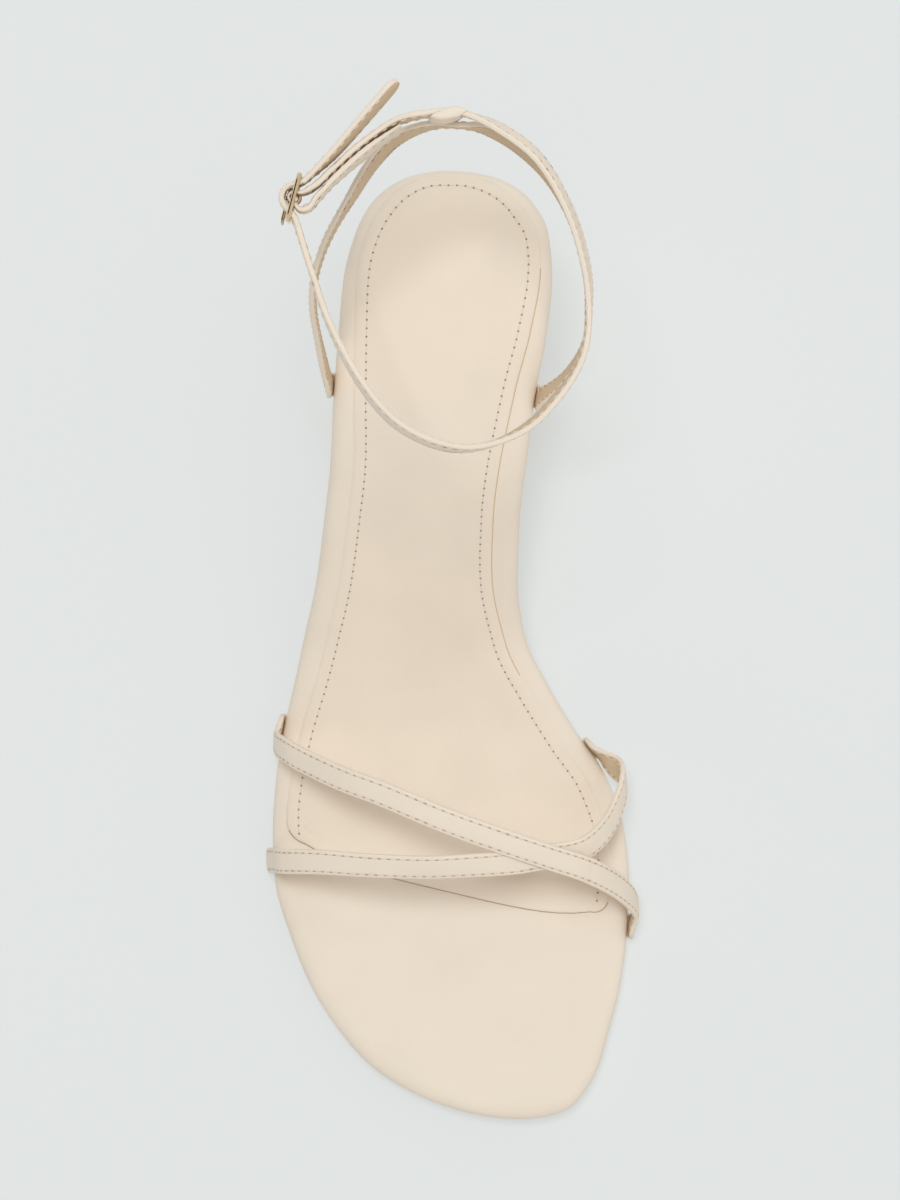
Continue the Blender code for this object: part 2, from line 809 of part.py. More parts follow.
def make_back_loop():
    """Band of the sling that goes round the ankle strap at the back."""
    middle = leg_place(ANKLE_ROUND[3]).lerp(leg_place(ANKLE_ROUND[4]), 0.5)
    deep = STRAP_THICK / 2 + BACK_LOOP_SLACK + BACK_LOOP_THICK / 2
    high = LEG_STRAP_WIDTH / 2 + BACK_LOOP_SLACK + BACK_LOOP_THICK / 2
    foot = leg_place(SLING[9]).z + BACK_LOOP_THICK - middle.z
    corners = [(deep, high), (-deep, high), (-deep, foot), (deep, foot)]
    points = soft_corners(corners, BACK_LOOP_THICK)
    places = [middle + Vector((0, y, z)) for y, z in points]
    frames = []
    for index, place in enumerate(places):
        run = (places[(index + 1) % len(places)] - places[index - 1]).normalized()
        side = Vector((1, 0, 0))
        frames.append((place, side, run.cross(side), (1, 1)))
    section = strap_section(BACK_LOOP_WIDTH, BACK_LOOP_THICK, BACK_LOOP_THICK / 4)
    return sweep("back_loop", frames, section, True)


def soft_corners(corners, radius):
    """Points of a closed outline with each corner rounded."""
    points = []
    for index, corner in enumerate(corners):
        corner = Vector(corner)
        before = (Vector(corners[index - 1]) - corner).normalized() * radius
        after = (Vector(corners[(index + 1) % len(corners)]) - corner).normalized() * radius
        middle = corner + before + after
        for step in range(CORNER_STEPS + 1):
            angle = math.pi / 2 * step / CORNER_STEPS
            points.append(middle - after * math.cos(angle) - before * math.sin(angle))
    return points


def make_sling(footbed):
    """Strap from both sides of the waist up round the heel."""
    width = LEG_STRAP_WIDTH
    sling = strap("heel_sling", whole_strap(SLING_ENDS, leg_stops(SLING)), width)
    use_tool(sling, make_back_loop(), "UNION")
    make_strap_room(footbed, "sling_outer_room", tuck(SLING_ENDS[0], -1), width)
    make_strap_room(footbed, "sling_inner_room", tuck(SLING_ENDS[1], 1), width)
    return sling


# Buckle: along runs from the front bar to the back bar, out looks away from
# the ankle

def buckle_axes():
    """Middle of the front bar, the way along the frame and the way out."""
    turn = math.radians(FRAME_TURN)
    along = Vector((math.sin(turn), math.cos(turn), 0))
    out = Vector((-math.cos(turn), math.sin(turn), 0))
    return leg_place(BUCKLE_PLACE) - along * BAR_GAP, along, out


def at_buckle(along, out, up=0.0):
    """A place given from the front bar."""
    corner, along_axis, out_axis = buckle_axes()
    return corner + along_axis * along + out_axis * out + Vector((0, 0, up))


def buckle_stop(place, look, thick=1.0):
    """Stop of the strap at the buckle; look is an angle from along to out."""
    along_axis, out_axis = buckle_axes()[1:]
    angle = math.radians(look)
    face = along_axis * math.cos(angle) + out_axis * math.sin(angle)
    return Stop(at_buckle(*place), face, thick, 1.0)


def around_bar(bar, radius, angles, look=None, thick=1.0):
    """Stops on a round about one bar of the buckle."""
    stops = []
    for angle in angles:
        turn = math.radians(angle)
        place = (bar * BAR_GAP + radius * math.cos(turn), radius * math.sin(turn))
        stops.append(buckle_stop(place, angle if look is None else look, thick))
    return stops


def fold_stops():
    """The folded end: a loose loop, then round the middle bar."""
    rows = [buckle_stop((row.along * BAR_GAP, row.out * BAR_GAP), row.look, row.thick)
            for row in LOOSE_FOLD]
    radius = WIRE / 2 + CLEAR + STRAP_THICK * SKIVED / 2
    bar = around_bar(1, radius, (200, 150, 90, 30, -10), None, SKIVED)
    leave = [buckle_stop((row.along * BAR_GAP, row.out * BAR_GAP), row.look, row.thick)
             for row in FOLD_LEAVES]
    return rows + bar + leave


def weave_stops():
    """The free end through the frame: in, over the middle bar, out."""
    under = WIRE / 2 + CLEAR + STRAP_THICK / 2
    over = WIRE / 2 + 2 * CLEAR + PRONG_WIRE + STRAP_THICK / 2
    front = around_bar(0, under, (-60, -30), 90)
    middle = around_bar(1, over, (150, 110, 70, 30), 90)
    back = around_bar(2, under, (-150, -125), 90)
    return front + middle + back


def tail_stops():
    """The free tail, narrowing to its tip."""
    stops = leg_stops(TAIL)
    tip = stops[-1]
    run = (tip.place - stops[-2].place).normalized()
    ends = [Stop(tip.place + run * LEG_STRAP_WIDTH * ahead, tip.face, 1.0, wide)
            for ahead, wide in TAIL_TIP]
    return stops + ends


def make_ankle_strap():
    """One strap: folded end, round the ankle, through the buckle, tail."""
    stops = leg_stops(FOLDED_END) + fold_stops() + leg_stops(ANKLE_ROUND)
    stops += weave_stops() + tail_stops()
    piece = strap("ankle_strap", stops, LEG_STRAP_WIDTH)
    use_tool(piece, make_fold_slot(), "DIFFERENCE")
    use_tool(piece, make_prong_hole(), "DIFFERENCE")
    return piece


def make_rod(name, start, end, radius):
    """A straight round rod."""
    run = (end - start).normalized()
    side = run.cross(Vector((0.3, 0.2, 1))).normalized()
    return wire(name, [start, end], radius, side)


def make_fold_slot():
    """Slot in the fold where the prong's eye sits."""
    reach = PRONG_WIRE / 2 + CLEAR
    radius = WIRE / 2 + 2 * CLEAR + PRONG_WIRE - CLEAR / 3
    return make_rod("fold_slot", at_buckle(BAR_GAP, 0, -reach), at_buckle(BAR_GAP, 0, reach), radius)


def prong_height():
    """How far out of the frame's plane the prong lies."""
    return (WIRE + PRONG_WIRE) / 2 + CLEAR


def make_prong_hole():
    """Hole in the strap where the prong goes through."""
    start = at_buckle(-WIRE, prong_height())
    end = at_buckle(BAR_GAP - WIRE / 2, prong_height())
    return make_rod("prong_hole", start, end, PRONG_WIRE / 2 + CLEAR)


def make_frame():
    """Gold frame with its middle bar."""
    high = LEG_STRAP_WIDTH / 2 + FRAME_ROOM + WIRE / 2
    corners = [(0, -high), (0, high), (2 * BAR_GAP, high), (2 * BAR_GAP, -high)]
    points = [at_buckle(x, 0, z) for x, z in soft_corners(corners, FRAME_CORNER)]
    ring = wire("buckle_frame", points, WIRE / 2, buckle_axes()[2], True)
    bar = make_rod("middle_bar", at_buckle(BAR_GAP, 0, -high), at_buckle(BAR_GAP, 0, high), WIRE / 2)
    use_tool(ring, bar, "UNION")
    return ring


def make_prong():
    """Pin whose eye turns on the middle bar and whose tip lies on the front bar."""
    radius = prong_height()
    eye = []
    for step in range(EYE_STEPS + 1):
        angle = math.radians(EYE_START + (90 - EYE_START) * step / EYE_STEPS)
        eye.append(at_buckle(BAR_GAP + radius * math.cos(angle), radius * math.sin(angle)))
    shaft = [at_buckle(BAR_GAP * share, radius) for share in (0.5, 0.0)]
    tip = at_buckle(-WIRE * 1.3, radius - CLEAR)
    return wire("buckle_prong", eye + shaft + [tip], PRONG_WIRE / 2, Vector((0, 0, 1)))


CREAM = (0.84, 0.72, 0.60)
LINING = (0.72, 0.58, 0.43)
GOLD = (0.83, 0.68, 0.42)
TREAD = (0.62, 0.50, 0.37)


def make_sandal():
    """Build every piece and give it its material."""
    footbed = make_footbed()
    toe_straps = make_toe_straps(footbed)
    sling = make_sling(footbed)
    ankle_strap = make_ankle_strap()
    for piece in (footbed, toe_straps, sling, ankle_strap, make_heel()):
        paint(piece, "cream_leather", CREAM, 0.45)
    paint(make_sock(), "sock_leather", CREAM, 0.5)
    paint(make_outsole(), "outsole_leather", TREAD, 0.6)
    paint(make_heel_tip(), "tip_rubber", LINING, 0.7)
    paint(make_frame(), "gold_metal", GOLD, 0.25, 1.0)
    paint(make_prong(), "gold_metal", GOLD, 0.25, 1.0)


def clear_scene():
    """Remove what the scene starts with."""
    for piece in list(bpy.data.objects):
        bpy.data.objects.remove(piece, do_unlink=True)


clear_scene()
make_sandal()
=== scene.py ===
"""Strappy heeled sandal, right shoe: its leather, stitching and buckle.

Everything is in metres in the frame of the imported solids: +X is the big-toe
side, -Y the toe, +Y the heel and +Z up, from the middle of the heel tip's
floor face.
"""

import bisect
import math
from collections import namedtuple
from functools import lru_cache

import bmesh
import bpy
from bpy.props import FloatProperty, FloatVectorProperty, PointerProperty
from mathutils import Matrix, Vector


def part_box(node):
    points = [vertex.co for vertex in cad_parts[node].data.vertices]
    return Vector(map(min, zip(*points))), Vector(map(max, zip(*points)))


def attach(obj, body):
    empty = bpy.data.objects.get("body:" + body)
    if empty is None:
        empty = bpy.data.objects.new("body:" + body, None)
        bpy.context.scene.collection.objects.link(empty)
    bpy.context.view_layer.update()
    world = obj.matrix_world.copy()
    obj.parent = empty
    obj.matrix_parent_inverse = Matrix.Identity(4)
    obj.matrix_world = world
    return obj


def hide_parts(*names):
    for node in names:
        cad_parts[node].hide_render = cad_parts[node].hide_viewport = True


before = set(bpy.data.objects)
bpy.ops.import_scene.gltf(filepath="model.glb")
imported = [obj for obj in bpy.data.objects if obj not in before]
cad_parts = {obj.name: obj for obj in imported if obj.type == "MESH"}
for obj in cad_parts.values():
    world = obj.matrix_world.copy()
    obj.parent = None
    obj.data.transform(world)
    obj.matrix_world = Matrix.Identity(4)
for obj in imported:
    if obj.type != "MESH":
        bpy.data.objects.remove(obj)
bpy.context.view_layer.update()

bl_info = {
    "name": "Strappy Heeled Sandal",
    "version": (1, 0, 0),
    "blender": (4, 5, 0),
    "location": "3D View > Sidebar > Sandal",
    "description": "Dresses the solids of a strappy heeled sandal in leather and metal",
    "category": "Object",
}

MM = 0.001

# Sole and heel, as in the solids
PLAN_LENGTH = 239.0 * MM
BALL_WIDTH = 92.0 * MM
HEEL_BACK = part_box("footbed")[1].y
SEAT_HEIGHT = 60.0 * MM
TOE_SPRING = 4.6 * MM
CUP_DEPTH = 3.2 * MM
CUP_WIDTH = 18.0 * MM
FOOTBED_THICK = 5.7 * MM
FOOTBED_ROUND = 4.2 * MM
OUTSOLE_THICK = 2.0 * MM
OUTSOLE_INSET = 2.0 * MM
HEEL_INSET = 2.2 * MM
HEEL_TOP_LENGTH = 41.0 * MM
HEEL_BASE_WIDTH = 30.0 * MM
HEEL_BASE_LENGTH = 27.0 * MM
TIP_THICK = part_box("heel_tip")[1].z
CLEAR = 0.3 * MM

# How far the cover falls towards its edge, and over what width
PILLOW_DROP = 1.1 * MM
PILLOW_WIDTH = 9.0 * MM

# Sock: its seam's and its least distance from an edge, its front corners and front edge,
# the stretch over which its side turns into its front, and how far it is let into the cover
SOCK_MARGIN = 3.1 * MM
SOCK_LEAST = 1.5 * MM
SOCK_CORNER = 4.5 * MM
SOCK_CORNER_LEAST = 0.4 * MM
SOCK_BOW = 3.6 * MM
BOW_FLATNESS = 4
SOCK_FRONT = 12.0 * MM
SOCK_BED = 0.3 * MM

# Eased lower edges; the step is a share of the ease
OUTSOLE_EASE = 0.5 * MM
TIP_EASE = 0.6 * MM
TIP_EASE_STEP = 0.3

# Straps, as in the solids
INSTEP_HEIGHT = 37.0 * MM
LOOP_WIDTH = 66.0 * MM
LOOP_LENGTH = 76.0 * MM
ANKLE_RISE = 77.0 * MM
TUCK_DEPTH = 8.0 * MM
SKIVED = 0.5
STRAP_THICK = 1.4 * MM

# Strap leather, in shares: how far the edge is pulled in along its middle, how far the
# padding is sunk, and how deep a crease may go. Then the seams: half width of their dip,
# and how far they keep off the ends
EDGE_SEAM = 0.22
PAD_SUNK = 0.5
CREASE_LIMIT = 0.5
SEAM_DIP_WIDTH = 0.32 * MM
SEAM_START = TUCK_DEPTH + 3 * MM
ANKLE_SEAM_ENDS = (1.5 * MM, 4.0 * MM)

# Needle holes, each a dark slit of painted shade standing for the shadow in the hole: half
# length and half width, and how far their middle and rim stand proud
STRAP_HOLE = (0.58 * MM, 0.22 * MM)
SOCK_HOLE = (0.28 * MM, 0.26 * MM)
HOLE_LIFT = 0.06 * MM
HOLE_RIM_LIFT = 0.4
HOLE_SIDES = 10

# Stitches: the first one's place as a share of the pitch, how far a thread keeps from
# the middle of its hole, its bow and its ends as shares of its radius
FIRST_STITCH = 0.4
STITCH_GAP = 0.7
STITCH_BOW = 1.15
STITCH_SUNK = 0.75
STITCH_END = 0.55
STITCH_SIDES = 6
STITCH_STEPS = 6
SOCK_THREAD = 0.55

# Keeper on the sling that holds the ankle strap at the back: its lengths, then shares of
# them, with its slant on the outer side at its start and its end
KEEPER_HALF = 3.7 * MM
KEEPER_THICK = 0.38 * MM
KEEPER_ROOM = 0.04 * MM
KEEPER_BULGE = 1.0 * MM
KEEPER_DROP = 7.7 * MM
KEEPER_CORNER = 0.6 * MM
KEEPER_SLANT = (1.3, 0.3)
KEEPER_PLACE = 0.55
KEEPER_PUFF = 0.8
KEEPER_SIDE_PUFF = 0.2
KEEPER_THIN_END = 0.2
KEEPER_STEPS = 24

# Buckle, as in the solids
WIRE = 1.1 * MM
PRONG_WIRE = 0.9 * MM
BAR_GAP = 5.2 * MM
FRAME_ROOM = 0.5 * MM
FRAME_CORNER = 1.6 * MM
FRAME_TURN = 14.8
MIDDLE_BAR = 0.96
EYE_START = -215.0
EYE_END = 90.0

# Angles at which the strap passes the buckle's bars
FOLD_TURN = (200, 150, 90, 30, -10)
WEAVE_IN = (-60, -30)
WEAVE_OVER = (150, 110, 70, 30)
WEAVE_OUT = (-150, -125)
WEAVE_LOOK = 90

# How finely the shapes are divided
SOLE_ROWS = 120
SOLE_COLUMNS = 18
EDGE_STEPS = 14
SOCK_CORNER_STEPS = 8
OUTSOLE_COLUMNS = 8
OUTSOLE_EDGE_STEPS = 6
HEEL_ROWS = 36
HEEL_COLUMNS = 12
HEEL_LEVELS = 24
HEEL_CROWDING = 1.5
WIRE_SIDES = 20
EYE_STEPS = 36
FRAME_CORNER_STEPS = 10
KEEPER_CORNER_STEPS = 6
SPAN_STEPS = 14
KEEPER_SPAN_STEPS = 24
STRAP_STEP = 0.6 * MM
FACE_COLUMNS = 22
EDGE_COLUMNS = 8
SHARP_ANGLE = 55

# Shares and lengths too small to matter
SOLE_END = 1e-6
ONE_POINT = 1e-5
NO_LENGTH = 1e-9

Outline = namedtuple("Outline", "along lateral medial")
SOLE_OUTLINE = [
    Outline(0.000, 0.000, 0.000),
    Outline(0.010, 0.126, 0.150),
    Outline(0.035, 0.206, 0.233),
    Outline(0.065, 0.246, 0.271),
    Outline(0.110, 0.277, 0.281),
    Outline(0.170, 0.292, 0.265),
    Outline(0.230, 0.305, 0.236),
    Outline(0.295, 0.315, 0.215),
    Outline(0.355, 0.335, 0.198),
    Outline(0.420, 0.361, 0.194),
    Outline(0.480, 0.398, 0.217),
    Outline(0.530, 0.428, 0.279),
    Outline(0.580, 0.459, 0.357),
    Outline(0.630, 0.480, 0.445),
    Outline(0.690, 0.491, 0.498),
    Outline(0.745, 0.484, 0.511),
    Outline(0.800, 0.444, 0.505),
    Outline(0.860, 0.380, 0.484),
    Outline(0.910, 0.295, 0.450),
    Outline(0.945, 0.210, 0.423),
    Outline(0.970, 0.108, 0.387),
    Outline(0.990, -0.025, 0.335),
    Outline(1.000, -0.205, 0.205),
]

Profile = namedtuple("Profile", "along rise spring dish")
SOLE_PROFILE = [
    Profile(0.000, 1.000, 0.00, 1.00),
    Profile(0.050, 0.977, 0.00, 1.00),
    Profile(0.105, 0.950, 0.00, 0.85),
    Profile(0.167, 0.915, 0.00, 0.70),
    Profile(0.230, 0.865, 0.00, 0.60),
    Profile(0.260, 0.830, 0.00, 0.55),
    Profile(0.293, 0.769, 0.00, 0.50),
    Profile(0.335, 0.660, 0.00, 0.45),
    Profile(0.418, 0.400, 0.00, 0.40),
    Profile(0.460, 0.271, 0.00, 0.35),
    Profile(0.490, 0.186, 0.00, 0.30),
    Profile(0.520, 0.118, 0.00, 0.28),
    Profile(0.550, 0.066, 0.00, 0.25),
    Profile(0.585, 0.030, 0.00, 0.25),
    Profile(0.630, 0.008, 0.00, 0.20),
    Profile(0.680, 0.000, 0.00, 0.20),
    Profile(0.780, 0.000, 0.00, 0.20),
    Profile(0.840, 0.000, 0.07, 0.20),
    Profile(0.900, 0.000, 0.27, 0.20),
    Profile(0.955, 0.000, 0.60, 0.20),
    Profile(1.000, 0.000, 1.00, 0.20),
]

# Where the sock starts and ends, and how much sooner its seam ends, as shares of PLAN_LENGTH
SOCK_BACK = 0.0008
SOCK_END_LATERAL = 0.700
SOCK_END_MEDIAL = 0.783
SEAM_SHORT_LATERAL = 0.004
SEAM_SHORT_MEDIAL = 0.013

# Stitch line of the sock, in millimetres inside the outline on each side
SockLine = namedtuple("SockLine", "along lateral medial")
SOCK_LINE = [
    SockLine(0.000, 3.8, 3.8),
    SockLine(0.010, 4.8, 5.1),
    SockLine(0.035, 5.8, 6.1),
    SockLine(0.076, 5.8, 5.7),
    SockLine(0.114, 6.3, 6.1),
    SockLine(0.165, 7.0, 7.0),
    SockLine(0.235, 8.1, 8.2),
    SockLine(0.315, 8.9, 9.6),
    SockLine(0.393, 8.9, 9.7),
    SockLine(0.482, 8.7, 8.3),
    SockLine(0.585, 7.4, 7.7),
    SockLine(0.665, 6.6, 7.7),
    SockLine(0.710, 7.2, 7.7),
    SockLine(0.785, 7.3, 8.6),
]

# Sock across its edge: inside is the distance from the edge, and side and
# front the heights above the cover there, all in millimetres. The dip at
# SOCK_MARGIN carries the stitches.
SockEdge = namedtuple("SockEdge", "inside side front")
SOCK_PAD = [
    SockEdge(0.00, 0.01, 0.01),
    SockEdge(0.12, 0.06, 0.20),
    SockEdge(0.30, 0.22, 0.62),
    SockEdge(0.80, 0.40, 0.82),
    SockEdge(1.80, 0.55, 0.92),
    SockEdge(2.50, 0.60, 0.95),
    SockEdge(2.80, 0.59, 0.94),
    SockEdge(3.40, 0.59, 0.94),
    SockEdge(3.70, 0.63, 0.97),
    SockEdge(4.40, 0.74, 1.00),
    SockEdge(6.00, 0.97, 1.06),
    SockEdge(9.00, 1.10, 1.10),
]

# The raw edge, darker with painted shade, shows where the sock faces the toe and away from the
# lamp; a lighter painted shade lies on its inner side, which faces away from the lamp too: rings
# of faces, shares of PLAN_LENGTH and how far the edge has to face that way
CUT_RINGS = 3
CUT_START = 0.66
CUT_SHADE_FACING = -0.3
INNER_SHADE_START = 0.10
INNER_SHADE_END = 0.52
INNER_SHADE_FACING = 0.12

Level = namedtuple("Level", "drop taper")
HEEL_SHAPE = [
    Level(0.00, 0.00),
    Level(0.08, 0.28),
    Level(0.20, 0.52),
    Level(0.38, 0.74),
    Level(0.62, 0.90),
    Level(1.00, 1.00),
]

# Toe straps: shares of BALL_WIDTH, PLAN_LENGTH and INSTEP_HEIGHT. In degrees, tilt turns
# the outer face from the outer side (0) over the top (90) to the inner side (180), and
# lean tips it towards the toe
ToeRow = namedtuple("ToeRow", "across along height tilt lean")
OVER_STRAP = [
    ToeRow(-0.478, 0.592, 0.108, 5, 0),
    ToeRow(-0.449, 0.600, 0.378, 35, 4),
    ToeRow(-0.385, 0.612, 0.595, 55, 8),
    ToeRow(-0.278, 0.629, 0.811, 70, 12),
    ToeRow(-0.187, 0.641, 0.919, 79, 14),
    ToeRow(-0.009, 0.669, 1.000, 90, 14),
    ToeRow(0.153, 0.692, 0.973, 99, 14),
    ToeRow(0.271, 0.708, 0.892, 107, 15),
    ToeRow(0.393, 0.726, 0.676, 124, 12),
    ToeRow(0.484, 0.749, 0.351, 150, 6),
    ToeRow(0.528, 0.772, 0.081, 178, 0),
]
OVER_ENDS = (0.578, 0.793)
UNDER_STRAP = [
    ToeRow(-0.486, 0.720, 0.108, 5, 0),
    ToeRow(-0.453, 0.718, 0.430, 38, 6),
    ToeRow(-0.351, 0.716, 0.676, 58, 14),
    ToeRow(-0.210, 0.718, 0.838, 74, 22),
    ToeRow(-0.052, 0.719, 0.919, 86, 25),
    ToeRow(0.062, 0.717, 0.927, 92, 22),
    ToeRow(0.184, 0.714, 0.892, 100, 16),
    ToeRow(0.266, 0.709, 0.851, 107, 14),
    ToeRow(0.368, 0.703, 0.676, 124, 12),
    ToeRow(0.435, 0.684, 0.486, 140, 8),
    ToeRow(0.478, 0.655, 0.297, 155, 4),
    ToeRow(0.491, 0.631, 0.162, 172, 0),
    ToeRow(0.464, 0.618, 0.020, 205, 0),
]
UNDER_ENDS = (0.722, 0.603)

# Heel sling and ankle strap: shares of LOOP_WIDTH, LOOP_LENGTH and ANKLE_RISE, and how
# far the outer face is turned up, in degrees
LegRow = namedtuple("LegRow", "across along rise tilt")
SLING = [
    LegRow(-0.458, 0.622, 0.026, -20),
    LegRow(-0.478, 0.520, 0.208, -6),
    LegRow(-0.483, 0.445, 0.338, -3),
    LegRow(-0.466, 0.362, 0.455, -3),
    LegRow(-0.415, 0.264, 0.571, -6),
    LegRow(-0.340, 0.168, 0.675, -14),
    LegRow(-0.262, 0.071, 0.753, -22),
    LegRow(-0.172, -0.004, 0.805, -24),
    LegRow(-0.059, -0.038, 0.844, -6),
    LegRow(0.045, -0.037, 0.850, 3),
    LegRow(0.134, -0.030, 0.831, -15),
    LegRow(0.256, 0.024, 0.779, -21),
    LegRow(0.363, 0.109, 0.714, -20),
    LegRow(0.443, 0.224, 0.623, -14),
    LegRow(0.498, 0.364, 0.494, -6),
    LegRow(0.508, 0.479, 0.364, -4),
    LegRow(0.498, 0.585, 0.208, -8),
    LegRow(0.434, 0.674, 0.052, -24),
]
SLING_ENDS = (0.219, 0.231)
FOLDED_END = [
    LegRow(-0.157, -0.013, 0.974, 9),
    LegRow(-0.273, 0.059, 0.987, 9),
    LegRow(-0.389, 0.148, 1.000, 4),
]
ANKLE_ROUND = [
    LegRow(-0.400, 0.122, 1.000, 0),
    LegRow(-0.290, 0.038, 0.987, -4),
    LegRow(-0.170, -0.033, 0.974, -4),
    LegRow(-0.060, -0.058, 0.961, 0),
    LegRow(0.045, -0.060, 0.961, 2),
    LegRow(0.178, -0.017, 0.961, 21),
    LegRow(0.316, 0.076, 0.961, 22),
    LegRow(0.414, 0.228, 0.974, 15),
    LegRow(0.471, 0.408, 0.987, 6),
    LegRow(0.483, 0.557, 1.000, 2),
    LegRow(0.456, 0.676, 1.013, -5),
    LegRow(0.369, 0.790, 1.026, -14),
    LegRow(0.262, 0.880, 1.039, -12),
    LegRow(0.112, 0.934, 1.039, 2),
    LegRow(-0.023, 0.929, 1.039, 10),
    LegRow(-0.177, 0.861, 1.039, 12),
    LegRow(-0.298, 0.737, 1.039, 10),
    LegRow(-0.400, 0.568, 1.026, 5),
    LegRow(-0.466, 0.396, 1.026, 0),
]
TAIL = [
    LegRow(-0.387, 0.070, 1.026, -10),
    LegRow(-0.296, -0.019, 1.032, -15),
    LegRow(-0.205, -0.109, 1.039, -15),
]
BUCKLE_PLACE = LegRow(-0.519, 0.198, 1.013, 0)

# The rows of the ankle strap that the keeper lies between
KEEPER_ROWS = ANKLE_ROUND[3:5]

# Ends that taper: how far ahead, in widths or wires, and the share of the width there
TAIL_TIP = [(0.20, 0.97), (0.38, 0.86), (0.50, 0.68), (0.58, 0.42), (0.61, 0.15)]
PRONG_NOSE = [(0.6, 0.85), (1.0, 0.7), (1.22, 0.45), (1.3, 0.15)]
PRONG_SHAFT = (0.8, 0.6, 0.4, 0.2, 0.0)

# A strap end from under the footbed: inward is a share of TUCK_DEPTH, stand of the room
# that the strap needs beside the edge, drop of the room below its middle
TuckRow = namedtuple("TuckRow", "inward stand drop look thick")
TUCKED = [
    TuckRow(1.00, 0.0, 0.94, -90, SKIVED),
    TuckRow(0.55, 0.0, 0.94, -90, SKIVED),
    TuckRow(0.28, 0.0, 0.93, -88, 0.55),
    TuckRow(0.04, 0.0, 0.80, -62, 0.80),
    TuckRow(0.00, 0.9, 0.45, -25, 1.00),
    TuckRow(0.00, 1.1, -0.25, 0, 1.00),
]

# The folded end at the buckle, in steps of BAR_GAP from the front bar
FoldRow = namedtuple("FoldRow", "along out look thick")
LOOSE_FOLD = [
    FoldRow(1.10, -0.90, 258, 1.0),
    FoldRow(0.80, -0.79, 235, 1.0),
    FoldRow(0.62, -0.60, 205, 1.0),
    FoldRow(0.56, -0.40, 172, 0.9),
    FoldRow(0.64, -0.22, 150, 0.7),
]
FOLD_LEAVES = [
    FoldRow(1.28, -0.28, 5, 0.7),
    FoldRow(1.48, -0.52, 25, 1.0),
    FoldRow(1.80, -0.80, 50, 1.0),
]

# Creases pressed by wear and sewing: distance along the strap, depth and half
# width in millimetres, lean across the strap, and the face (1 outer, -1 inner)
Crease = namedtuple("Crease", "at deep wide lean side")
OVER_CREASES = [
    Crease(15.0, 0.16, 1.1, 0.25, 1),
    Crease(18.5, 0.12, 1.4, -0.30, 1),
    Crease(27.0, 0.10, 2.2, 0.50, 1),
    Crease(41.0, 0.08, 2.6, -0.40, 1),
    Crease(73.0, 0.12, 1.8, 0.45, 1),
    Crease(94.0, 0.10, 2.4, -0.35, 1),
    Crease(121.0, 0.16, 1.2, 0.30, 1),
]
UNDER_CREASES = [
    Crease(14.5, 0.16, 1.1, -0.25, 1),
    Crease(20.0, 0.12, 1.6, 0.40, 1),
    Crease(33.0, 0.08, 2.4, 0.30, 1),
    Crease(58.0, 0.10, 2.0, -0.45, 1),
    Crease(97.0, 0.14, 1.5, 0.35, 1),
    Crease(110.0, 0.18, 1.2, -0.30, -1),
]
SLING_CREASES = [
    Crease(16.0, 0.14, 1.2, 0.35, 1),
    Crease(21.0, 0.12, 1.4, -0.40, -1),
    Crease(84.0, 0.12, 2.0, 0.50, -1),
    Crease(101.0, 0.12, 2.2, -0.50, -1),
    Crease(150.0, 0.10, 2.6, 0.40, 1),
    Crease(178.0, 0.14, 1.3, -0.35, -1),
]
ANKLE_CREASES = [
    Crease(22.0, 0.18, 1.0, 0.20, -1),
    Crease(26.0, 0.14, 1.2, -0.25, 1),
    Crease(47.0, 0.16, 1.3, 0.35, 1),
    Crease(66.0, 0.12, 2.2, -0.45, -1),
    Crease(103.0, 0.10, 2.6, 0.50, 1),
    Crease(142.0, 0.10, 2.4, -0.40, -1),
    Crease(187.0, 0.10, 2.8, 0.40, 1),
    Crease(236.0, 0.16, 1.3, 0.30, 1),
    Crease(262.0, 0.16, 1.2, -0.30, -1),
]

# A place that a strap passes, and one cut across it; at is the distance along the strap
Stop = namedtuple("Stop", "place face thick wide")
Slice = namedtuple("Slice", "place run across out thick wide at")


# What a user would change

class SandalSizes(bpy.types.PropertyGroup):
    """Sizes of the straps and of the sewing"""
    toe_strap_width: FloatProperty(
        name="Toe strap width", description="Width of the two crossed toe straps",
        default=6.5 * MM, unit="LENGTH")
    leg_strap_width: FloatProperty(
        name="Leg strap width", description="Width of the heel sling and the ankle strap",
        default=6.0 * MM, unit="LENGTH")
    strap_pad: FloatProperty(
        name="Strap padding", description="How far a strap's face swells along its middle",
        default=0.16 * MM, unit="LENGTH")
    seam_margin: FloatProperty(
        name="Seam margin", description="Distance of a strap's stitching from its edge",
        default=0.95 * MM, unit="LENGTH")
    seam_dip: FloatProperty(
        name="Seam dip", description="How deep the stitching pulls the leather in",
        default=0.09 * MM, unit="LENGTH")
    strap_pitch: FloatProperty(
        name="Strap stitch", description="Distance from one hole to the next on the straps",
        default=2.45 * MM, unit="LENGTH")
    sock_pitch: FloatProperty(
        name="Sock stitch", description="Distance from one hole to the next on the sock",
        default=2.07 * MM, unit="LENGTH")
    thread_thick: FloatProperty(
        name="Thread thickness", description="Thickness of the sewing thread",
        default=0.34 * MM, unit="LENGTH")


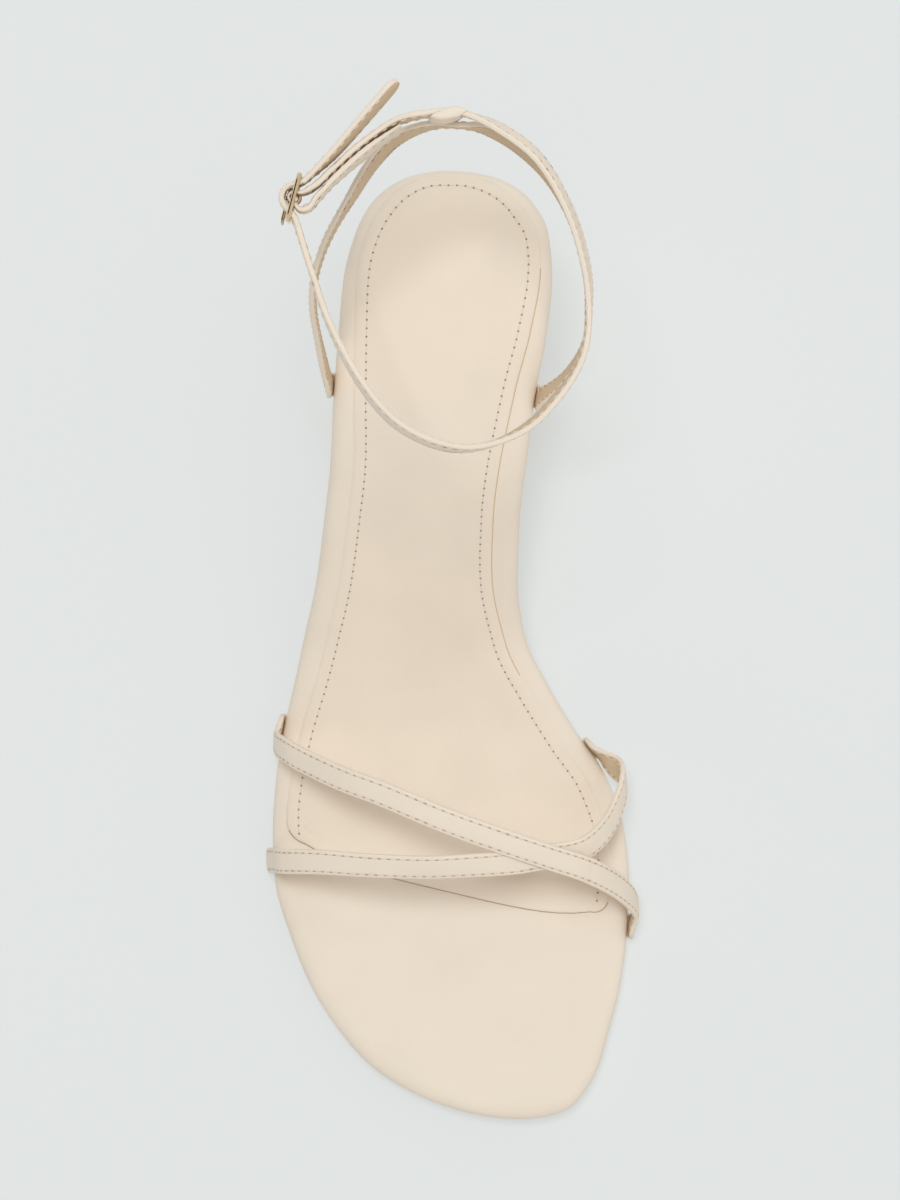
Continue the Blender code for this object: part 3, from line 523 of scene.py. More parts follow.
class SandalColours(bpy.types.PropertyGroup):
    """Colours of the leathers, the thread, the metal and the floor, and painted shade for the
    needle holes and the sock's edge
    """
    cover: FloatVectorProperty(
        name="Cover", description="Smooth cream leather of the straps and the footbed",
        default=(0.82, 0.715, 0.60), size=3, min=0, max=1, subtype="COLOR")
    lining: FloatVectorProperty(
        name="Lining", description="Inner face of the straps",
        default=(0.66, 0.51, 0.35), size=3, min=0, max=1, subtype="COLOR")
    sock: FloatVectorProperty(
        name="Sock", description="Leather of the insole sock",
        default=(0.82, 0.71, 0.59), size=3, min=0, max=1, subtype="COLOR")
    thread: FloatVectorProperty(
        name="Thread", description="Sewing thread",
        default=(0.78, 0.68, 0.56), size=3, min=0, max=1, subtype="COLOR")
    # Painted shade: the dark colour of the needle holes stands for the shadow inside them
    hole: FloatVectorProperty(
        name="Needle hole", description="Shaded leather round the thread",
        default=(0.32, 0.235, 0.165), size=3, min=0, max=1, subtype="COLOR")
    # Raw cut edge of the sock, its own darker tone and painted shade together: laid only where the
    # edge faces away from the lamp
    cut_edge_shade: FloatVectorProperty(
        name="Cut edge", description="Raw edge of the insole sock",
        default=(0.46, 0.34, 0.23), size=3, min=0, max=1, subtype="COLOR")
    gold: FloatVectorProperty(
        name="Gold", description="Pale gold plating of the buckle",
        default=(0.82, 0.67, 0.46), size=3, min=0, max=1, subtype="COLOR")
    tread: FloatVectorProperty(
        name="Tread", description="Outsole and its edge",
        default=(0.60, 0.49, 0.36), size=3, min=0, max=1, subtype="COLOR")
    floor: FloatVectorProperty(
        name="Floor", description="Pale studio floor",
        default=(0.755, 0.778, 0.770), size=3, min=0, max=1, subtype="COLOR")


# Curves and tables

class Curve:
    """Smooth curve through one column of a table, which never overshoots it."""

    def __init__(self, keys, values):
        self.keys = keys
        self.values = values
        rates = [(b - a) / (d - c)
                 for a, b, c, d in zip(values, values[1:], keys, keys[1:])]
        inner = [0.0 if a * b <= 0 else 2 * a * b / (a + b) for a, b in zip(rates, rates[1:])]
        self.slopes = [rates[0]] + inner + [rates[-1]]

    def __call__(self, at):
        at = min(max(at, self.keys[0]), self.keys[-1])
        i = min(max(bisect.bisect_right(self.keys, at) - 1, 0), len(self.keys) - 2)
        span = self.keys[i + 1] - self.keys[i]
        return hermite(self.values[i], self.values[i + 1], self.slopes[i] * span,
                       self.slopes[i + 1] * span, (at - self.keys[i]) / span)


def hermite(start, end, leave, arrive, share):
    """Cubic between two values with given end slopes."""
    square = share * share
    cube = square * share
    value = start * (2 * cube - 3 * square + 1) + end * (3 * square - 2 * cube)
    return value + leave * (cube - 2 * square + share) + arrive * (cube - square)


def smooth_step(share):
    """Share from 0 to 1 that starts and ends gently."""
    share = min(max(share, 0.0), 1.0)
    return share * share * (3 - 2 * share)


def column(table, name):
    """One named column of a table."""
    return [getattr(row, name) for row in table]


def round_key(along):
    """A key in which the round ends of the sole are smooth."""
    return math.acos(1 - 2 * min(max(along, 0.0), 1.0))


def spaced(count, start=0.0, end=1.0):
    """Shares from start to end, packed towards the round ends of the sole."""
    low = round_key(start)
    high = round_key(end)
    keys = [low + (high - low) * i / count for i in range(count + 1)]
    return [(1 - math.cos(key)) / 2 for key in keys]


OUTLINE_KEYS = [round_key(row.along) for row in SOLE_OUTLINE]
LATERAL = Curve(OUTLINE_KEYS, column(SOLE_OUTLINE, "lateral"))
MEDIAL = Curve(OUTLINE_KEYS, column(SOLE_OUTLINE, "medial"))
RISE = Curve(column(SOLE_PROFILE, "along"), column(SOLE_PROFILE, "rise"))
SPRING = Curve(column(SOLE_PROFILE, "along"), column(SOLE_PROFILE, "spring"))
DISH = Curve(column(SOLE_PROFILE, "along"), column(SOLE_PROFILE, "dish"))
TAPER = Curve(column(HEEL_SHAPE, "drop"), column(HEEL_SHAPE, "taper"))
SIDE_PAD = Curve(column(SOCK_PAD, "inside"), column(SOCK_PAD, "side"))
FRONT_PAD = Curve(column(SOCK_PAD, "inside"), column(SOCK_PAD, "front"))
LATERAL_LINE = Curve(column(SOCK_LINE, "along"), column(SOCK_LINE, "lateral"))
MEDIAL_LINE = Curve(column(SOCK_LINE, "along"), column(SOCK_LINE, "medial"))


def through(stops, per_span):
    """Stops along one smooth curve through the given stops."""
    result = []
    for index in range(len(stops) - 1):
        start = stops[index]
        end = stops[index + 1]
        before = stops[max(index - 1, 0)]
        after = stops[min(index + 2, len(stops) - 1)]
        steps = per_span if index < len(stops) - 2 else per_span + 1
        for step in range(steps):
            result.append(between(before, start, end, after, step / per_span))
    return result


def between(before, start, end, after, share):
    """One stop between two, with slopes set by the distances to all four."""
    span = (end.place - start.place).length
    ahead = (after.place - end.place).length
    behind = (start.place - before.place).length
    mixed = []
    for field in ("place", "face"):
        a, b, c, d = (getattr(stop, field) for stop in (before, start, end, after))
        leave = (c - a) * (span / (span + behind))
        arrive = (d - b) * (span / (span + ahead))
        mixed.append(hermite(b, c, leave, arrive, share))
    thick = start.thick + (end.thick - start.thick) * share
    wide = start.wide + (end.wide - start.wide) * share
    return Stop(mixed[0], mixed[1].normalized(), thick, wide)


# The last: plan outline and heights

def half_width(along, side):
    """Distance from the middle line to the sole's edge; side is -1 or 1."""
    return (MEDIAL if side > 0 else LATERAL)(round_key(along)) * BALL_WIDTH


def forefoot_top():
    """Height of the footbed's top where the forefoot lies flat."""
    return OUTSOLE_THICK + CLEAR + FOOTBED_THICK


@lru_cache(maxsize=None)
def top_height(along):
    """Height of the footbed's top along its middle line."""
    rise = (SEAT_HEIGHT - forefoot_top()) * RISE(along)
    return forefoot_top() + rise + TOE_SPRING * SPRING(along)


@lru_cache(maxsize=None)
def slope_stretch(along):
    """How much a thickness grows when it is measured straight down."""
    step = 0.004
    low = max(along - step, 0.0)
    high = min(along + step, 1.0)
    fall = (top_height(low) - top_height(high)) / ((high - low) * PLAN_LENGTH)
    return math.sqrt(1 + fall * fall)


def footbed_bottom(along):
    """Height of the footbed's underside."""
    return top_height(along) - FOOTBED_THICK * slope_stretch(along)


def outsole_top(along):
    """Height of the outsole's upper face."""
    return footbed_bottom(along) - CLEAR * slope_stretch(along)


def outsole_bottom(along):
    """Height of the outsole's tread."""
    return outsole_top(along) - OUTSOLE_THICK * slope_stretch(along)


def station(y):
    """Share of the plan length at one place."""
    return min(max((HEEL_BACK - y) / PLAN_LENGTH, 0.0), 1.0)


def edge_point(along, side):
    """Point of the sole's outline in plan."""
    return Vector((side * half_width(along, side), HEEL_BACK - along * PLAN_LENGTH, 0))


def edge_normal(along, side):
    """Outward direction of the outline in plan."""
    step = 0.003
    low = edge_point(max(along - step, 0.0), side)
    high = edge_point(min(along + step, 1.0), side)
    run = (high - low).normalized()
    return Vector((-run.y, run.x, 0)) * side


def inset_point(along, side, inset):
    """Point at a distance inside the outline."""
    if along < SOLE_END:
        return Vector((0, HEEL_BACK - inset, 0))
    if along > 1 - SOLE_END:
        tip = edge_point(1.0, 1)
        return Vector((tip.x, tip.y + inset, 0))
    return edge_point(along, side) - edge_normal(along, side) * inset


OUTLINE_RING = [edge_point(share, -1) for share in spaced(60)]
OUTLINE_RING += [edge_point(share, 1) for share in reversed(spaced(60))]


def distance_to(point, start, end):
    """Distance in plan from a point to a straight piece of the outline."""
    run = end - start
    if run.length < NO_LENGTH:
        return (point - start).length
    share = min(max((point - start).dot(run) / run.dot(run), 0.0), 1.0)
    return (point - start - run * share).length


def cup(point):
    """Lift of the footbed's top near its edge, less the soft fall of the leather."""
    flat = Vector((point.x, point.y, 0))
    sides = zip(OUTLINE_RING[-1:] + OUTLINE_RING, OUTLINE_RING)
    reach = min(distance_to(flat, start, end) for start, end in sides)
    rise = CUP_DEPTH * DISH(station(point.y)) * smooth_step(1 - reach / CUP_WIDTH)
    return rise - PILLOW_DROP * max(0.0, 1 - reach / PILLOW_WIDTH) ** 2


def on_top(point, lift=0.0):
    """The point on the footbed's top, or a lift above it."""
    height = top_height(station(point.y)) + cup(point) + lift
    return Vector((point.x, point.y, height))


def cover_normal(point):
    """Way that the cover's upper face looks at a place on it."""
    step = 0.5 * MM
    along = on_top(point + Vector((0, step, 0))) - on_top(point - Vector((0, step, 0)))
    across = on_top(point + Vector((step, 0, 0))) - on_top(point - Vector((step, 0, 0)))
    return across.cross(along).normalized()


def cover_point(along, side, inset, lift):
    """Point over the cover at a distance inside its outline, on the rounded edge too."""
    place = inset_point(along, side, inset)
    if inset >= FOOTBED_ROUND:
        return on_top(place, lift)
    flat = inset_point(along, side, FOOTBED_ROUND)
    high = on_top(flat).z
    half = (high - footbed_bottom(station(flat.y))) / 2
    out = 1 - inset / FOOTBED_ROUND
    return Vector((place.x, place.y, high - half * (1 - math.sqrt(1 - out * out)) + lift))


def raised(plan, height_of):
    """Rows of plan points, put at a height that depends on the place along the sole."""
    return [[Vector((p.x, p.y, height_of(station(p.y)))) for p in row] for row in plan]


# Mesh building

def plan_row(left, right, columns):
    """Plan points from the outer side to the inner one, or one point."""
    if (right - left).length < ONE_POINT:
        return [left]
    return [left.lerp(right, i / columns) for i in range(columns + 1)]


def rim(rows):
    """The boundary of a grid of rows, in order."""
    inner = [row[-1] for row in rows[1:-1]]
    outer = [row[0] for row in reversed(rows[1:-1])]
    return list(rows[0]) + inner + list(reversed(rows[-1])) + outer


def fill(bm, rows):
    """Faces between the rows of a grid."""
    for first, second in zip(rows, rows[1:]):
        count = max(len(first), len(second))
        for i in range(count - 1):
            near = first[i:i + 2] if len(first) > 1 else first
            far = second[i:i + 2] if len(second) > 1 else second
            bm.faces.new(list(near) + list(reversed(far)))


def belt(bm, upper, lower):
    """Faces between two closed rings."""
    for i in range(len(upper)):
        j = (i + 1) % len(upper)
        bm.faces.new((upper[i], upper[j], lower[j], lower[i]))


def tube(bm, rings):
    """Faces along a row of closed rings, with a face over each end."""
    for first, second in zip(rings, rings[1:]):
        belt(bm, first, second)
    bm.faces.new(rings[0])
    bm.faces.new(list(reversed(rings[-1])))


def around(sides):
    """Even angles round a circle."""
    return [2 * math.pi * k / sides for k in range(sides)]


def round_ring(bm, centre, side, out, size, sides):
    """Ring of corners round one place of a thread or wire."""
    return [bm.verts.new(centre + side * (size * math.cos(a)) + out * (size * math.sin(a)))
            for a in around(sides)]


def plate(name, top, rings, bottom):
    """A solid between two grids, with rings round its edge."""
    bm = bmesh.new()
    upper = [[bm.verts.new(p) for p in row] for row in top]
    lower = [[bm.verts.new(p) for p in row] for row in bottom]
    middle = [[bm.verts.new(p) for p in ring] for ring in rings]
    fill(bm, upper)
    fill(bm, lower)
    loops = [rim(upper)] + middle + [rim(lower)]
    for first, second in zip(loops, loops[1:]):
        belt(bm, first, second)
    return finish_mesh(name, bm)


def finish_mesh(name, bm):
    """Turn the faces outward and make the object."""
    bmesh.ops.recalc_face_normals(bm, faces=bm.faces)
    mesh = bpy.data.meshes.new(name)
    bm.to_mesh(mesh)
    bm.free()
    mesh.shade_smooth()
    mesh.set_sharp_from_angle(angle=math.radians(SHARP_ANGLE))
    piece = bpy.data.objects.new(name, mesh)
    bpy.context.scene.collection.objects.link(piece)
    return piece


def dress(piece, slot, material, *nodes):
    """Put a finished piece on the frame in place of its solids."""
    if not piece.data.materials:
        piece.data.materials.append(material)
    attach(piece, "root")
    if nodes:
        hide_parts(*nodes)
    return piece


# Materials: noise scales per metre, and reliefs by their depth and strength

Relief = namedtuple("Relief", "depth strength")
CLOUD_SCALE = 55.0
PORE_SCALE = 1400.0
TWIST_SCALE = 2600.0
MARK_SCALE = 1800.0
GOLD_CLOUD_SCALE = 240.0
LEATHER_WAVES = Relief(1.2 * MM, 0.10)
LEATHER_PEBBLES = Relief(0.10 * MM, 0.22)
LEATHER_PORES = Relief(0.05 * MM, 0.18)
SPECKLES = Relief(0.12 * MM, 0.25)
THREAD_TWIST = Relief(0.04 * MM, 0.5)
POLISHING_MARKS = Relief(0.01 * MM, 0.08)
GOLD_ROUGHNESS = 0.03
NOISE_REACH = (0.3, 0.7)


def shader_of(name):
    """A new node material, its tree, its Principled shader and the place on the shoe."""
    material = bpy.data.materials.new(name)
    material.use_nodes = True
    tree = material.node_tree
    place = tree.nodes.new("ShaderNodeTexCoord").outputs["Object"]
    return material, tree, tree.nodes["Principled BSDF"], place


def add_node(tree, kind, **values):
    """A node with its named inputs set."""
    node = tree.nodes.new(kind)
    for name, value in values.items():
        node.inputs[name.replace("_", " ")].default_value = value
    return node


def noise(tree, place, scale, detail=3.0):
    """Smooth random value over the surface, with a scale per metre."""
    node = add_node(tree, "ShaderNodeTexNoise", Scale=scale, Detail=detail)
    tree.links.new(place, node.inputs["Vector"])
    return node.outputs["Fac"]


def ranged(tree, value, low=0.0, high=1.0, reach=NOISE_REACH):
    """A value spread over a range; reach is where it starts and ends."""
    start, end = reach
    node = add_node(tree, "ShaderNodeMapRange", From_Min=start, From_Max=end,
                    To_Min=low, To_Max=high)
    tree.links.new(value, node.inputs["Value"])
    return node.outputs["Result"]


def blended(tree, share, first, second):
    """Two colours mixed by a value."""
    node = tree.nodes.new("ShaderNodeMix")
    node.data_type = "RGBA"
    tree.links.new(share, node.inputs["Factor"])
    node.inputs["A"].default_value = (*first, 1.0)
    node.inputs["B"].default_value = (*second, 1.0)
    return node.outputs["Result"]


def bump(tree, height, relief, under=None):
    """Relief from a height, on top of another relief."""
    node = add_node(tree, "ShaderNodeBump", Strength=relief.strength, Distance=relief.depth)
    tree.links.new(height, node.inputs["Height"])
    if under is not None:
        tree.links.new(under, node.inputs["Normal"])
    return node.outputs["Normal"]


def tinted(colour, share):
    """The colour made lighter or darker."""
    return tuple(min(1.0, c * share) for c in colour)


def mottle(tree, shader, share, colour, dark, light):
    """Base colour between a darker and a lighter tint, by a value."""
    tone = blended(tree, share, tinted(colour, dark), tinted(colour, light))
    tree.links.new(tone, shader.inputs["Base Color"])


def roughen(tree, shader, value, roughness, less, more):
    """Roughness that a random value makes a little less or more."""
    spread = ranged(tree, value, roughness - less, roughness + more)
    tree.links.new(spread, shader.inputs["Roughness"])


def leather(name, colour, grain, shine, roughness):
    """Smooth leather: soft waves, fine pebbled grain and tiny pores."""
    material, tree, shader, place = shader_of(name)
    clouds = noise(tree, place, CLOUD_SCALE)
    fine = noise(tree, place, PORE_SCALE, detail=2.0)
    cells = tree.nodes.new("ShaderNodeTexVoronoi")
    cells.feature = "SMOOTH_F1"
    cells.inputs["Scale"].default_value = grain
    tree.links.new(place, cells.inputs["Vector"])
    mottle(tree, shader, ranged(tree, clouds), colour, dark=0.975, light=1.02)
    roughen(tree, shader, fine, roughness, less=0.05, more=0.06)
    waves = bump(tree, clouds, LEATHER_WAVES)
    pebbles = bump(tree, cells.outputs["Distance"], LEATHER_PEBBLES, waves)
    pores = bump(tree, fine, LEATHER_PORES, pebbles)
    tree.links.new(pores, shader.inputs["Normal"])
    shader.inputs["Coat Weight"].default_value = shine
    shader.inputs["Coat Roughness"].default_value = 0.38
    shader.inputs["Specular IOR Level"].default_value = 0.42
    return material


def moulded(name, colour, roughness, speckle):
    """Plain moulded or pressed material with a fine speckle."""
    material, tree, shader, place = shader_of(name)
    spots = noise(tree, place, speckle, detail=4.0)
    mottle(tree, shader, ranged(tree, spots), colour, dark=0.93, light=1.05)
    roughen(tree, shader, spots, roughness, less=0.06, more=0.08)
    tree.links.new(bump(tree, spots, SPECKLES), shader.inputs["Normal"])
    return material


def sewing_thread(name, colour):
    """Twisted thread."""
    material, tree, shader, place = shader_of(name)
    twist = add_node(tree, "ShaderNodeTexWave", Scale=TWIST_SCALE, Distortion=1.0)
    twist.bands_direction = "DIAGONAL"
    tree.links.new(place, twist.inputs["Vector"])
    mottle(tree, shader, twist.outputs["Fac"], colour, dark=0.86, light=1.06)
    tree.links.new(bump(tree, twist.outputs["Fac"], THREAD_TWIST), shader.inputs["Normal"])
    shader.inputs["Roughness"].default_value = 0.72
    return material


def plated_gold(name, colour):
    """Polished pale gold plating with faint polishing marks."""
    material, tree, shader, place = shader_of(name)
    marks = noise(tree, place, MARK_SCALE, detail=5.0)
    clouds = noise(tree, place, GOLD_CLOUD_SCALE)
    mottle(tree, shader, ranged(tree, clouds), colour, dark=0.94, light=1.04)
    roughen(tree, shader, marks, GOLD_ROUGHNESS, less=0.0, more=0.03)
    tree.links.new(bump(tree, marks, POLISHING_MARKS), shader.inputs["Normal"])
    shader.inputs["Metallic"].default_value = 1.0
    return material


# Leather takes its grain's scale, its shine and its roughness; moulded pieces take their
# roughness and their speckle's scale
MAKERS = {
    "cream cover leather": lambda name, c: leather(name, c.cover, 1500.0, 0.10, 0.47),
    "strap lining leather": lambda name, c: leather(name, c.lining, 1100.0, 0.0, 0.62),
    "sock leather": lambda name, c: leather(name, c.sock, 1300.0, 0.05, 0.52),
    "sewing thread": lambda name, c: sewing_thread(name, c.thread),
    # Needle holes in painted shade; the straps' slits take a lighter tint of it
    "sock needle holes": lambda name, c: moulded(name, c.hole, 0.9, 900.0),
    "strap needle holes": lambda name, c: moulded(name, tinted(c.hole, 1.6), 0.9, 900.0),
    "cut leather edge": lambda name, c: moulded(name, c.cut_edge_shade, 0.8, 1500.0),
    # Painted shade alone, for the sock's inner edge where it faces away from the lamp
    "eased leather edge": lambda name, c: moulded(name, tinted(c.cut_edge_shade, 1.4), 0.8, 1500.0),
    "gold plating": lambda name, c: plated_gold(name, c.gold),
    "outsole leather": lambda name, c: moulded(name, c.tread, 0.60, 700.0),
    "heel tip rubber": lambda name, c: moulded(name, tinted(c.tread, 0.72), 0.68, 1200.0),
}


def finish(name):
    """A material by name, made the first time that it is asked for."""
    material = bpy.data.materials.get(name)
    return material or MAKERS[name](name, bpy.context.scene.sandal_colours)


# Sole

def sole_rows(inset, columns, shares):
    """Rows of plan points across the sole, inside its outline."""
    return [plan_row(inset_point(share, -1, inset), inset_point(share, 1, inset), columns)
            for share in shares]


def outward(ring):
    """Outward directions in plan at the points of a ring."""
    middle = sum(ring, Vector()) / len(ring)
    result = []
    for index, point in enumerate(ring):
        run = ring[(index + 1) % len(ring)] - ring[index - 1]
        side = Vector((run.y, -run.x, 0)).normalized()
        result.append(side if side.dot(point - middle) > 0 else -side)
    return result


def rounded_rings(top, bottom, reach, steps):
    """Rings of a half-round edge between two grids, pushed out by reach."""
    upper = rim(top)
    lower = rim(bottom)
    sides = outward([Vector((p.x, p.y, 0)) for p in upper])
    rings = []
    for step in range(1, steps):
        angle = math.pi / 2 - math.pi * step / steps
        ring = []
        for high, low, side in zip(upper, lower, sides):
            middle = (high + low) / 2
            half = (high - low) / 2
            ring.append(middle + side * (reach * math.cos(angle)) + half * math.sin(angle))
        rings.append(ring)
    return rings


def make_footbed_cover():
    """The cream cover, wrapped round the edge of the board."""
    plan = sole_rows(FOOTBED_ROUND, SOLE_COLUMNS, spaced(SOLE_ROWS))
    top = [[on_top(p) for p in row] for row in plan]
    bottom = raised(plan, footbed_bottom)
    rings = rounded_rings(top, bottom, FOOTBED_ROUND, EDGE_STEPS)
    return plate("footbed_cover", top, rings, bottom)


def sock_point(along, side, inside):
    """Point of the sock at a distance from its edge; the stitches keep their own line."""
    line = (MEDIAL_LINE if side > 0 else LATERAL_LINE)(along) * MM
    edge = max(line - SOCK_MARGIN, SOCK_LEAST)
    if inside < SOCK_MARGIN:
        inset = edge + (line - edge) * inside / SOCK_MARGIN
    else:
        inset = line + inside - SOCK_MARGIN
    end = SOCK_END_MEDIAL if side > 0 else SOCK_END_LATERAL
    return cover_point(along, side, inset, sock_lift(inside, end - along))


def sock_lift(inside, to_front):
    """Height of the sock over the cover; to_front is a share of the plan length."""
    front = smooth_step(1 - to_front * PLAN_LENGTH / SOCK_FRONT)
    return (SIDE_PAD(inside / MM) * (1 - front) + FRONT_PAD(inside / MM) * front) * MM


def sock_shares(end, inside):
    """Shares along one side of the sock, close together round its front corner."""
    corner = max(SOCK_CORNER - inside, SOCK_CORNER_LEAST) / PLAN_LENGTH
    last = end - inside / PLAN_LENGTH
    turns = [math.pi / 2 * i / SOCK_CORNER_STEPS for i in range(1, SOCK_CORNER_STEPS + 1)]
    round_part = [last - corner * (1 - math.sin(turn)) for turn in turns]
    return spaced(SOLE_ROWS, SOCK_BACK, last - corner) + round_part


def sock_rows(inside):
    """Rows of the sock at a distance inside its edge."""
    rows = []
    corner = max(SOCK_CORNER - inside, SOCK_CORNER_LEAST)
    lateral = sock_shares(SOCK_END_LATERAL, inside)
    medial = sock_shares(SOCK_END_MEDIAL, inside)
    for index, (a, b) in enumerate(zip(lateral, medial)):
        lift = sock_lift(inside, SOCK_END_LATERAL - a)
        left = sock_point(a, -1, inside)
        right = sock_point(b, 1, inside)
        turn = math.pi / 2 * max(index - SOLE_ROWS, 0) / SOCK_CORNER_STEPS
        run = (right - left).normalized() * corner * (1 - math.cos(turn))
        row = plan_row(left + run, right - run, SOLE_COLUMNS)
        if index > 0:
            row[1:-1] = [on_top(p, lift) for p in row[1:-1]]
        rows.append(row)
    rows[-1] = [on_top(p, sock_lift(inside, 0.0)) for p in bowed(rows[-1], SOCK_BOW)]
    return rows


def bowed(row, bow):
    """The row with its middle moved towards the toe, flat there and round at its ends."""
    count = len(row) - 1
    return [p + Vector((0, -bow * (1 - (2 * i / count - 1) ** BOW_FLATNESS), 0))
            for i, p in enumerate(row)]


def make_sock():
    """Thin padded sock with a skived edge and a sewn channel; its edge carries painted shade where
    it faces away from the lamp.
    """
    loops = [sock_rows(row.inside * MM) for row in SOCK_PAD]
    base = [[p - Vector((0, 0, SOCK_BED)) for p in line] for line in loops[0]]
    rings = [rim(rows) for rows in reversed(loops[:-1])]
    piece = plate("sock", loops[-1], rings, base)
    for name in ("sock leather", "cut leather edge", "eased leather edge"):
        piece.data.materials.append(finish(name))
    first = len(piece.data.vertices) - CUT_RINGS * len(rings[0])
    # Edge faces turned away from the lamp get darker colours: towards the toe the raw cut edge
    # with painted shade, on the inner side painted shade alone
    for face in piece.data.polygons:
        along = station(face.center.y)
        if any(v < first for v in face.vertices):
            continue
        if along > CUT_START and face.normal.y < CUT_SHADE_FACING:
            face.material_index = 1
        elif INNER_SHADE_START < along < INNER_SHADE_END and face.normal.x > INNER_SHADE_FACING:
            face.material_index = 2
    return piece


def sock_seam():
    """Places and outward faces along the sock's stitching."""
    lateral = sock_shares(SOCK_END_LATERAL - SEAM_SHORT_LATERAL, 0.0)
    medial = sock_shares(SOCK_END_MEDIAL - SEAM_SHORT_MEDIAL, 0.0)
    line = [sock_point(share, -1, SOCK_MARGIN) for share in reversed(lateral)]
    line += [sock_point(share, 1, SOCK_MARGIN) for share in medial]
    return [(place, cover_normal(place)) for place in line]


def make_outsole():
    """Thin sole with an eased edge."""
    shares = spaced(SOLE_ROWS, (HEEL_TOP_LENGTH + CLEAR) / PLAN_LENGTH)
    plan = sole_rows(OUTSOLE_INSET + OUTSOLE_EASE, OUTSOLE_COLUMNS, shares)
    top = raised(plan, outsole_top)
    bottom = raised(plan, outsole_bottom)
    rings = rounded_rings(top, bottom, OUTSOLE_EASE, OUTSOLE_EDGE_STEPS)
    return plate("outsole_tread", top, rings, bottom)


# Heel

def heel_rows():
    """Plan rows of the heel's upper face."""
    shares = spaced(HEEL_ROWS, 0.0, HEEL_TOP_LENGTH / PLAN_LENGTH)
    return sole_rows(HEEL_INSET, HEEL_COLUMNS, shares)


def heel_place(point, taper):
    """Plan point of the heel between its upper face and its base."""
    back = HEEL_BACK - HEEL_INSET
    front = HEEL_BACK - HEEL_TOP_LENGTH
    seat = [row.along for row in SOLE_OUTLINE if row.along < HEEL_TOP_LENGTH / PLAN_LENGTH]
    widest = max(half_width(along, 1) for along in seat) - HEEL_INSET
    x = point.x / widest * HEEL_BASE_WIDTH / 2
    y = ((point.y - front) / (back - front) - 0.5) * HEEL_BASE_LENGTH
    return Vector((point.x, point.y, 0)).lerp(Vector((x, y, 0)), taper)


def heel_level(rows, drop):
    """Rows of the heel block at one level."""
    foot = TIP_THICK + CLEAR / 2
    result = []
    for row in rows:
        line = []
        for point in row:
            high = outsole_top(station(point.y))
            place = heel_place(point, TAPER(drop))
            line.append(Vector((place.x, place.y, high + (foot - high) * drop)))
        result.append(line)
    return result


def make_heel_block():
    """Slim covered block under the seat."""
    rows = heel_rows()
    drops = [(i / HEEL_LEVELS) ** HEEL_CROWDING for i in range(HEEL_LEVELS + 1)]
    levels = [heel_level(rows, drop) for drop in drops]
    return plate("heel_cover", levels[0], [rim(level) for level in levels[1:-1]], levels[-1])


def make_heel_tip():
    """Top piece with an eased lower edge."""
    half = HEEL_BASE_WIDTH / 2
    base = [[heel_place(p, 1.0) for p in row] for row in heel_rows()]
    top = [[Vector((p.x, p.y, TIP_THICK)) for p in row] for row in base]
    inner = [[p * (1 - TIP_EASE / half) for p in row] for row in base]
    ring = [Vector((p.x, p.y, TIP_EASE)) for p in rim(base)]
    small = [p * (1 - TIP_EASE_STEP * TIP_EASE / half) for p in rim(base)]
    middle = [Vector((p.x, p.y, TIP_EASE * TIP_EASE_STEP)) for p in small]
    return plate("heel_top_piece", top, [ring, middle], inner)


# Strap routes

def tuck(along, side):
    """Stops of a strap end from under the footbed out round its edge."""
    base = edge_point(along, side)
    out = edge_normal(along, side)
    high = on_top(inset_point(along, side, FOOTBED_ROUND)).z
    low = footbed_bottom(along)
    step = 0.01
    climb = (top_height(along - step) - top_height(along + step)) / (2 * step * PLAN_LENGTH)
    up = Vector((0, -climb, 1)).normalized()
    base.z = (high + low) / 2
    rest = (high - low) / 2 - STRAP_THICK * SKIVED / 2
    stand = CLEAR + STRAP_THICK / 2
    stops = []
    for row in TUCKED:
        place = base + out * (stand * row.stand - TUCK_DEPTH * row.inward) - up * (rest * row.drop)
        look = math.radians(row.look)
        face = out * math.cos(look) + up * math.sin(look)
        stops.append(Stop(place, face, row.thick, 1.0))
    return stops


def whole_strap(ends, stops):
    """A strap with both its ends tucked under the footbed."""
    return tuck(ends[0], -1) + stops + list(reversed(tuck(ends[1], 1)))


def toe_stops(rows):
    """Stops of a toe strap over the foot."""
    stops = []
    for row in rows:
        height = forefoot_top() + row.height * INSTEP_HEIGHT
        place = Vector((row.across * BALL_WIDTH, HEEL_BACK - row.along * PLAN_LENGTH, height))
        tilt = math.radians(row.tilt)
        lean = math.tan(math.radians(row.lean)) * math.sin(tilt)
        stops.append(Stop(place, Vector((-math.cos(tilt), -lean, math.sin(tilt))), 1.0, 1.0))
    return stops


def leg_place(row):
    """Place of one row of a strap round the ankle."""
    height = SEAT_HEIGHT + row.rise * ANKLE_RISE
    return Vector((row.across * LOOP_WIDTH, HEEL_BACK - row.along * LOOP_LENGTH, height))


def leg_face(run, tilt):
    """Way that the outer face looks where the strap runs a given way."""
    level = Vector((-run.y, run.x, 0)).normalized()
    angle = math.radians(tilt)
    return level * math.cos(angle) + Vector((0, 0, math.sin(angle)))


def leg_stops(rows):
    """Stops of a strap round the ankle, with its face square to its path."""
    places = [leg_place(row) for row in rows]
    runs = [after - before for before, after in zip(places[:1] + places, places[1:] + places[-1:])]
    return [Stop(place, leg_face(run, row.tilt), 1.0, 1.0)
            for place, run, row in zip(places, runs, rows)]


def buckle_axes():
    """Middle of the front bar, the way along the frame and the way out."""
    turn = math.radians(FRAME_TURN)
    along = Vector((math.sin(turn), math.cos(turn), 0))
    out = Vector((-math.cos(turn), math.sin(turn), 0))
    return leg_place(BUCKLE_PLACE) - along * BAR_GAP, along, out


